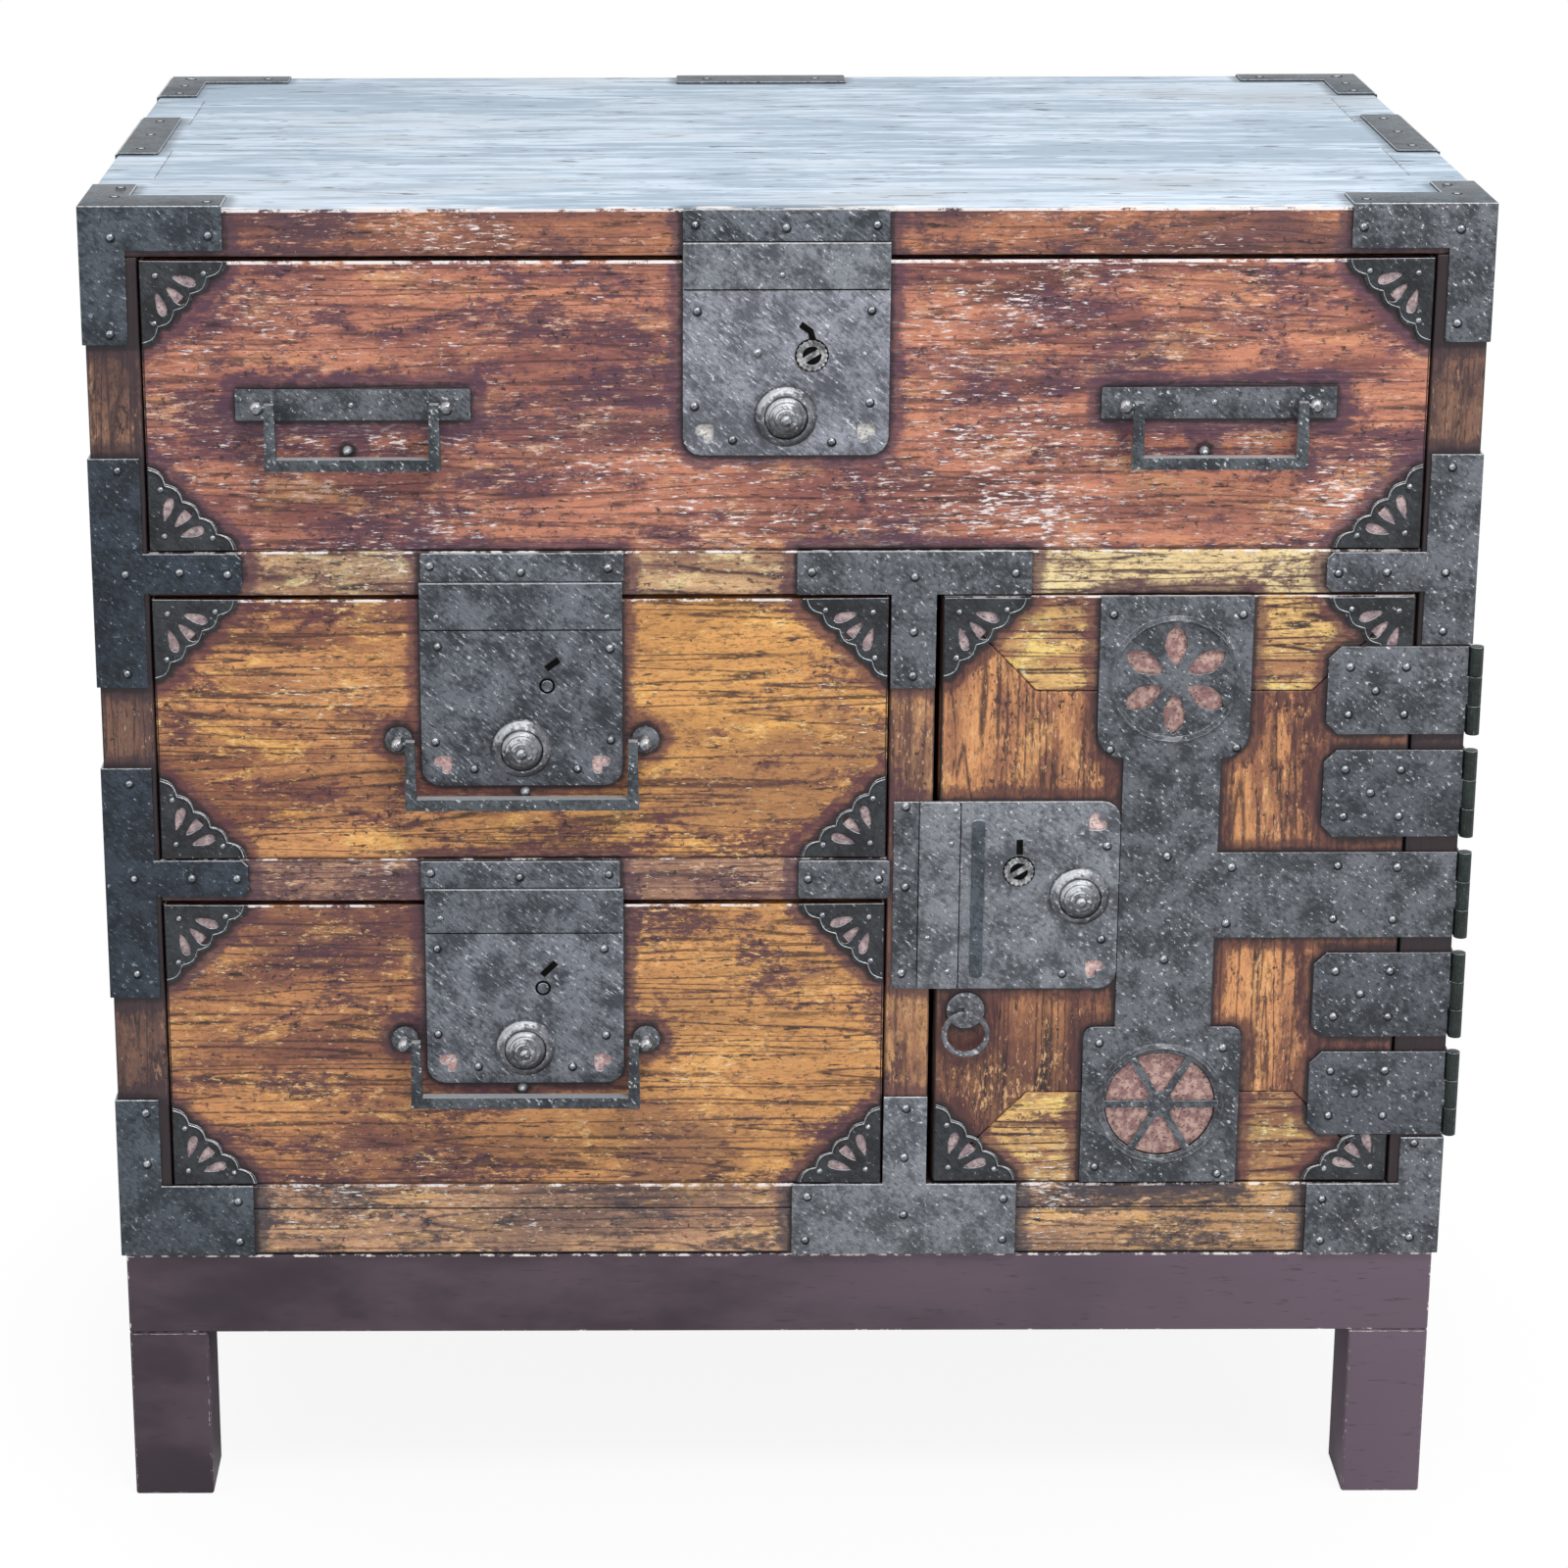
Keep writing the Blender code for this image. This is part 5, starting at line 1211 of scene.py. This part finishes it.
def buildRivets():
    random.seed(11)
    ground = woodTop + fitGap + plateThickness - topDrop
    shiftX, shiftZ = rivet["shadowShift"]
    for body, places in rivetPlaces.items():
        onTop = topRivets() if body == "case" else []
        # painted shadow: a dark ring under each rivet, shifted down
        grime = startPiece()
        for x, z in places:
            ring = ringOf(x + shiftX, z + shiftZ, rivet["grime"], 10)
            addPlate(grime, [ring], Vector((caseX, ironFront, 0)), film, thinEase)
        for x, y in onTop:
            ring = ringOf(x, y, rivet["topShadow"], 10)
            addPlate(grime, [ring], Vector((caseX, woodFront, ground)), film, thinEase, turn=flat)
        finishPiece(grime, "rivet_grime_" + body, body, "plate_iron", "rivetGrime")
        bm = startPiece()
        for x, z in places:
            size = rivet["radius"] * random.uniform(*rivet["spread"]) * millimetre
            addDome(bm, onFront(x, z), size, rivet["height"] * millimetre)
        for x, z in proudRivets.get(body, []):
            addDome(bm, onFront(x, z, ironFront - rivet["flapLift"]), *domes["flap"])
        if body == "drawer_top":
            for x, z in handleRivets:
                addDome(bm, onFront(x, z), *domes["handle"])
            addDome(bm, onFront(*lockStud), *domes["lockStud"])
        for x, y in onTop:
            place = Vector((caseX + x * millimetre, woodFront + y * millimetre, ground))
            addDome(bm, place, *domes["top"], (0, 0, 1))
        finishPiece(bm, "rivets_" + body, body, "plate_iron", "rivetIron")
    for body, places in restStuds.items():
        bm = startPiece()
        for x, z in places:
            addDome(bm, onFront(x, z, woodFront), *domes["stud"], (0, -1, 0), 16, 10)
        finishPiece(bm, "studs_" + body, body, "handle_iron", "rivetIron")
    for host, body, corners in fanCorners():
        bm = startPiece()
        for x, z, sx, sz in corners:
            for dx, dz in fan["rivets"]:
                if not (host == "door" and sx < 0 and dz > 30):  # a hinge lies there
                    place = Vector((x + sx * dx * millimetre, fanFront, z + sz * dz * millimetre))
                    addDome(bm, place, *domes["fan"])
        finishPiece(bm, "fan_rivets_" + host, body, "plate_iron", "rivetIron")


buildRivets()
print("rivets")

# key holes: rosettes, slots and what shows through the openings
keyHoles = {
    "top": {"rosette": (16.1, 797.6), "radius": 9.6, "slot": [(8.8, 817.5), (15.1, 813.1), (17.1, 806)]},
    "door": {"rosette": (154.3, 453.1), "radius": 9.4, "slot": [(154.4, 474.8), (154.6, 464.6)]},
    "middle": {"ring": (-152.2, 580.6), "slot": [(-144.5, 598.1), (-152.7, 592.1)]},
    "bottom": {"ring": (-156.8, 372.3), "slot": [(-148.2, 390.2), (-157.3, 381.3)]},
}


def stroke(points, width):
    # an outline along a short broken line
    left, right = [], []
    for number, (x, z) in enumerate(points):
        a = points[max(number - 1, 0)]
        b = points[min(number + 1, len(points) - 1)]
        angle = atan2(b[1] - a[1], b[0] - a[0])
        dx, dz = -sin(angle) * width / 2, cos(angle) * width / 2
        left.append((x + dx, z + dz))
        right.append((x - dx, z - dz))
    return left + right[::-1]


rosette = {  # opening and shade are shares of its radius
    "opening": 0.62, "thickness": 0.0014, "shade": 1.12, "shadeThickness": 0.0003,
    "beads": 18, "beadInset": 0.6, "beadLift": 0.0010, "bead": (0.00125, 0.0013),
    "bar": (5.4, 3.4), "barWidth": 3.4, "barThickness": 0.0012,
}
holeSizes = {  # the slot's width; shade and cover are radii, where a lock has no rosette
    "slot": 4.2, "slotThickness": 0.00025, "shade": 5.2, "shadeThickness": 0.0002,
    "cover": 3.7, "coverThickness": 0.0008,
}


def addRosette(pale, dark, front, x, z, radius):
    # a ring with a rim of beads and a bar across it
    rings = [ringOf(x, z, radius, 32), ringOf(x, z, radius * rosette["opening"], 24)]
    addPlate(pale, rings, front, rosette["thickness"], 0.4)
    out = radius - rosette["beadInset"]
    for number in range(rosette["beads"]):
        angle = 2 * pi * number / rosette["beads"]
        place = onFront(x + out * cos(angle), z + out * sin(angle), ironFront - rosette["beadLift"])
        addDome(pale, place, *rosette["bead"], (0, -1, 0), 8, 6)
    shade = ringOf(x, z, radius * rosette["shade"], 28)
    addPlate(dark, [shade], front, rosette["shadeThickness"], thinEase)
    dx, dz = rosette["bar"]
    bar = stroke([(x - dx, z - dz), (x + dx, z + dz)], rosette["barWidth"])
    addPlate(pale, [bar], front, rosette["barThickness"], 0.3)


def buildKeyHoles():
    front = Vector((caseX, ironFront, 0))
    for name, hole in keyHoles.items():
        body, finish = locks[name]["body"], "rosetteIron"
        dark, pale = startPiece(), startPiece()
        # the slot is a dark sheet: painted shade in the opening
        slot = stroke(hole["slot"], holeSizes["slot"])
        addPlate(dark, [slot], front, holeSizes["slotThickness"], thinEase)
        if "rosette" in hole:
            addRosette(pale, dark, front, *hole["rosette"], hole["radius"])
        else:
            finish = "lockIron"
            shade = ringOf(*hole["ring"], holeSizes["shade"], 24)
            addPlate(dark, [shade], front, holeSizes["shadeThickness"], thinEase)
            cover = ringOf(*hole["ring"], holeSizes["cover"], 18)
            addPlate(pale, [cover], front, holeSizes["coverThickness"], 0.3)
        finishPiece(pale, "rosette_" + name, body, "plate_iron", finish)
        finishPiece(dark, "key_hole_" + name, body, "plate_iron", "keyHoleDark")


# thin pale layers that show through the locks' hearts and the door's two rounds
underlay = {"gap": 0.00008, "thickness": 0.00015, "heart": 9.5, "round": 36, "roundFromEnd": 56}


def buildUnderlays():
    behind = Vector((caseX, woodFront - underlay["gap"], 0))
    for name, own in locks.items():
        bm = startPiece()
        for side in (1, -1):
            x, z = lockSpot(name, side * lock["heartAcross"], lock["heartUp"])
            addPlate(bm, [ringOf(x, z, underlay["heart"], 16)], behind, underlay["thickness"], thinEase)
        slot = "door_wood" if name == "door" else "drawer_wood"
        finish = "paleUnderlay" if name == "top" else "pinkUnderlay"
        finishPiece(bm, "heart_underlay_" + name, own["body"], slot, finish)
    low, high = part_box("door_centre_plate")
    bm = startPiece()
    x = ((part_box("door_panel")[0].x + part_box("door_panel")[1].x) / 2 - caseX) / millimetre
    fromEnd = underlay["roundFromEnd"]
    for z in (high.z / millimetre - fromEnd, low.z / millimetre + fromEnd):
        addPlate(bm, [ringOf(x, z, underlay["round"], 32)], behind, underlay["thickness"], thinEase)
    finishPiece(bm, "round_underlay", "door", "door_wood", "roundUnderlay")


buildKeyHoles()
buildUnderlays()
print("key holes and underlays")

# wood boards, with the soot that the iron leaves around it. The edge shares tell how bare the eased edges
# are worn and how bright or dark they are painted for the light, looking up, level and down, below 0 being
# painted shade; band is how far down the front the worn and painted-bright upper edge reaches
boardSets = {
    "drawer_wood": {"ease": 0.0016, "grid": 6, "wearAndLight": (1, -0.8, 0.1), "band": 0.0022},
    "door_wood": {"grid": 6},
    "case_wood": {"ease": 0.0010, "grid": 9, "wearAndLight": (0.7, 0.4, 0.1)},
    "top_wood": {"ease": 0.0012, "grid": 10, "wearAndLight": (1, 0.4, 0.1)},
    "stand_lacquer": {"ease": 0.0012, "grid": 60, "wearAndLight": (1, 0.8, 0.9)},
}
sideBoard = {
    "finish": "sideWood", "slot": "case_wood", "soot": 1.1, "wearAndLight": (0.5, -0.6, 0.1), "up": "topWood",
}
boards = {
    "drawer_top_front": {"finish": "drawerTopWood", "slot": "drawer_wood", "band": 0.0026, "bandWearAndLight": 0.9},
    "drawer_middle_front": {"finish": "drawerMiddleWood", "slot": "drawer_wood"},
    "drawer_bottom_front": {"finish": "drawerBottomWood", "slot": "drawer_wood"},
    "door_panel": {"finish": "doorWood", "slot": "door_wood", "ease": 0.0014, "wearAndLight": (0.4, -0.8, 0.1)},
    "door_top_clamp": {
        "finish": "clampWood", "slot": "door_wood", "ease": 0.0010, "wearAndLight": (1, 0.2, -0.2), "band": 0.0014,
    },
    "door_bottom_clamp": {"finish": "clampWood", "slot": "door_wood", "ease": 0.0008, "wearAndLight": (0.3, 0.4, 0.1)},
    "left_side": sideBoard,
    "right_side": sideBoard,
    "partition": {"finish": "postWood", "slot": "case_wood", "soot": 0.86, "wearAndLight": (0.4, -0.6, 0.1)},
    "upper_shelf": {"finish": "railWood", "slot": "case_wood", "ease": 0.0008, "band": 0.0016},
    "lower_shelf": {"finish": "lowRailWood", "slot": "case_wood"},
    "bottom_board": {"finish": "footWood", "slot": "case_wood", "ease": 0.0008, "band": 0.002},
    "base_rail": {"finish": "footWood", "slot": "case_wood", "ease": 0.0018, "wearAndLight": (0.5, 0.4, -1)},
    "top_board": {
        "finish": "sideWood", "slot": "top_wood", "band": 0.0032, "bandWearAndLight": 0.95,
        "up": "topWood", "front": "topRailWood",
    },
    "stand_frame": {
        "finish": "standLacquer", "slot": "stand_lacquer", "wearAndLight": (-0.9, 0.8, 0.7),
        "band": 0.0021, "bandWearAndLight": 0.91,
    },
}
for leg in ("front_left_leg", "front_right_leg", "rear_left_leg", "rear_right_leg"):
    boards[leg] = {"finish": "standLacquer", "slot": "stand_lacquer"}
sootReach = 0.018
greyDepth = 0.003  # what looks up gets the top's painted sheen this far down from a board's top
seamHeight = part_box("bottom_board")[0].z  # between the bottom board and the base rail
seamReach = 0.0008


def sootTree():
    verts, faces = [], []
    for piece in ironPieces:
        start = len(verts)
        verts += [v.co.copy() for v in piece.data.vertices]
        faces += [[start + index for index in face.vertices] for face in piece.data.polygons]
    return BVHTree.FromPolygons(verts, faces)


def shrink(bm, node):
    if node.startswith("drawer_"):
        top = max(v.co.z for v in bm.verts)
        for vert in [v for v in bm.verts if v.co.z > top - nearly]:
            vert.co.z -= gapDrop
    if node.startswith("door_"):
        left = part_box(node)[0].x
        for vert in [v for v in bm.verts if v.co.x < left + nearly]:
            vert.co.x += doorShrink


def buildBoards():
    tree = sootTree()
    for node, own in boards.items():
        board = {**boardSets[own["slot"]], **own}
        bm = mergedCopy(node)
        shrink(bm, node)
        easeEdges(bm, board["ease"], 28, board["wearAndLight"])
        top = max(v.co.z for v in bm.verts)
        band = board.get("band")
        if band:
            cut(bm, (0, 0, top - band), (0, 0, 1))
        for axis in range(3):
            if axis != 1 or "up" in board:  # the tops with their painted sheen are seen along their depth too
                cutGrid(bm, axis, board["grid"] * millimetre)
        edge, soot = bm.faces.layers.float["edge"], bm.verts.layers.float["soot"]
        bm.normal_update()
        for face in bm.faces:
            place = face.calc_center_median()
            # the band along an upper front edge is worn bare and painted bright as highlight
            if band and place.z > top - band and face.normal.y < -0.9:
                face[edge] = board.get("bandWearAndLight", 0.8)
            if node == "bottom_board" and abs(place.z - seamHeight) < seamReach:
                face[edge] = -1  # a dark seam, not a worn edge
            if "up" in board:
                up = face.normal.z > 0.3 and place.z > top - greyDepth
                face.material_index = 1 if up else 2 if face.normal.y < -0.8 else 0
        for vert in bm.verts:
            nearest = tree.find_nearest(vert.co, sootReach)[3]
            vert[soot] = 0 if nearest is None else (1 - nearest / sootReach) * board.get("soot", 1)
        finish = board["finish"]
        choice = (finish, board.get("up", finish), board.get("front", finish))
        finishPiece(bm, node + "_board", bodyOf(node), board["slot"], choice, (node,))
        print("board", node)


buildBoards()

for node in nodes:  # what stays as the frame gives it
    plain = "insideWood" if node.endswith("_box") else "sideWood" if node == "back_panel" else None
    if plain:
        nodes[node].data.materials.clear()
        nodes[node].data.materials.append(finishes[plain])
print("boards")

sizes = {"before": boxBefore, "after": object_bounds()}
{key: [list(corner) for corner in pair] for key, pair in sizes.items()}
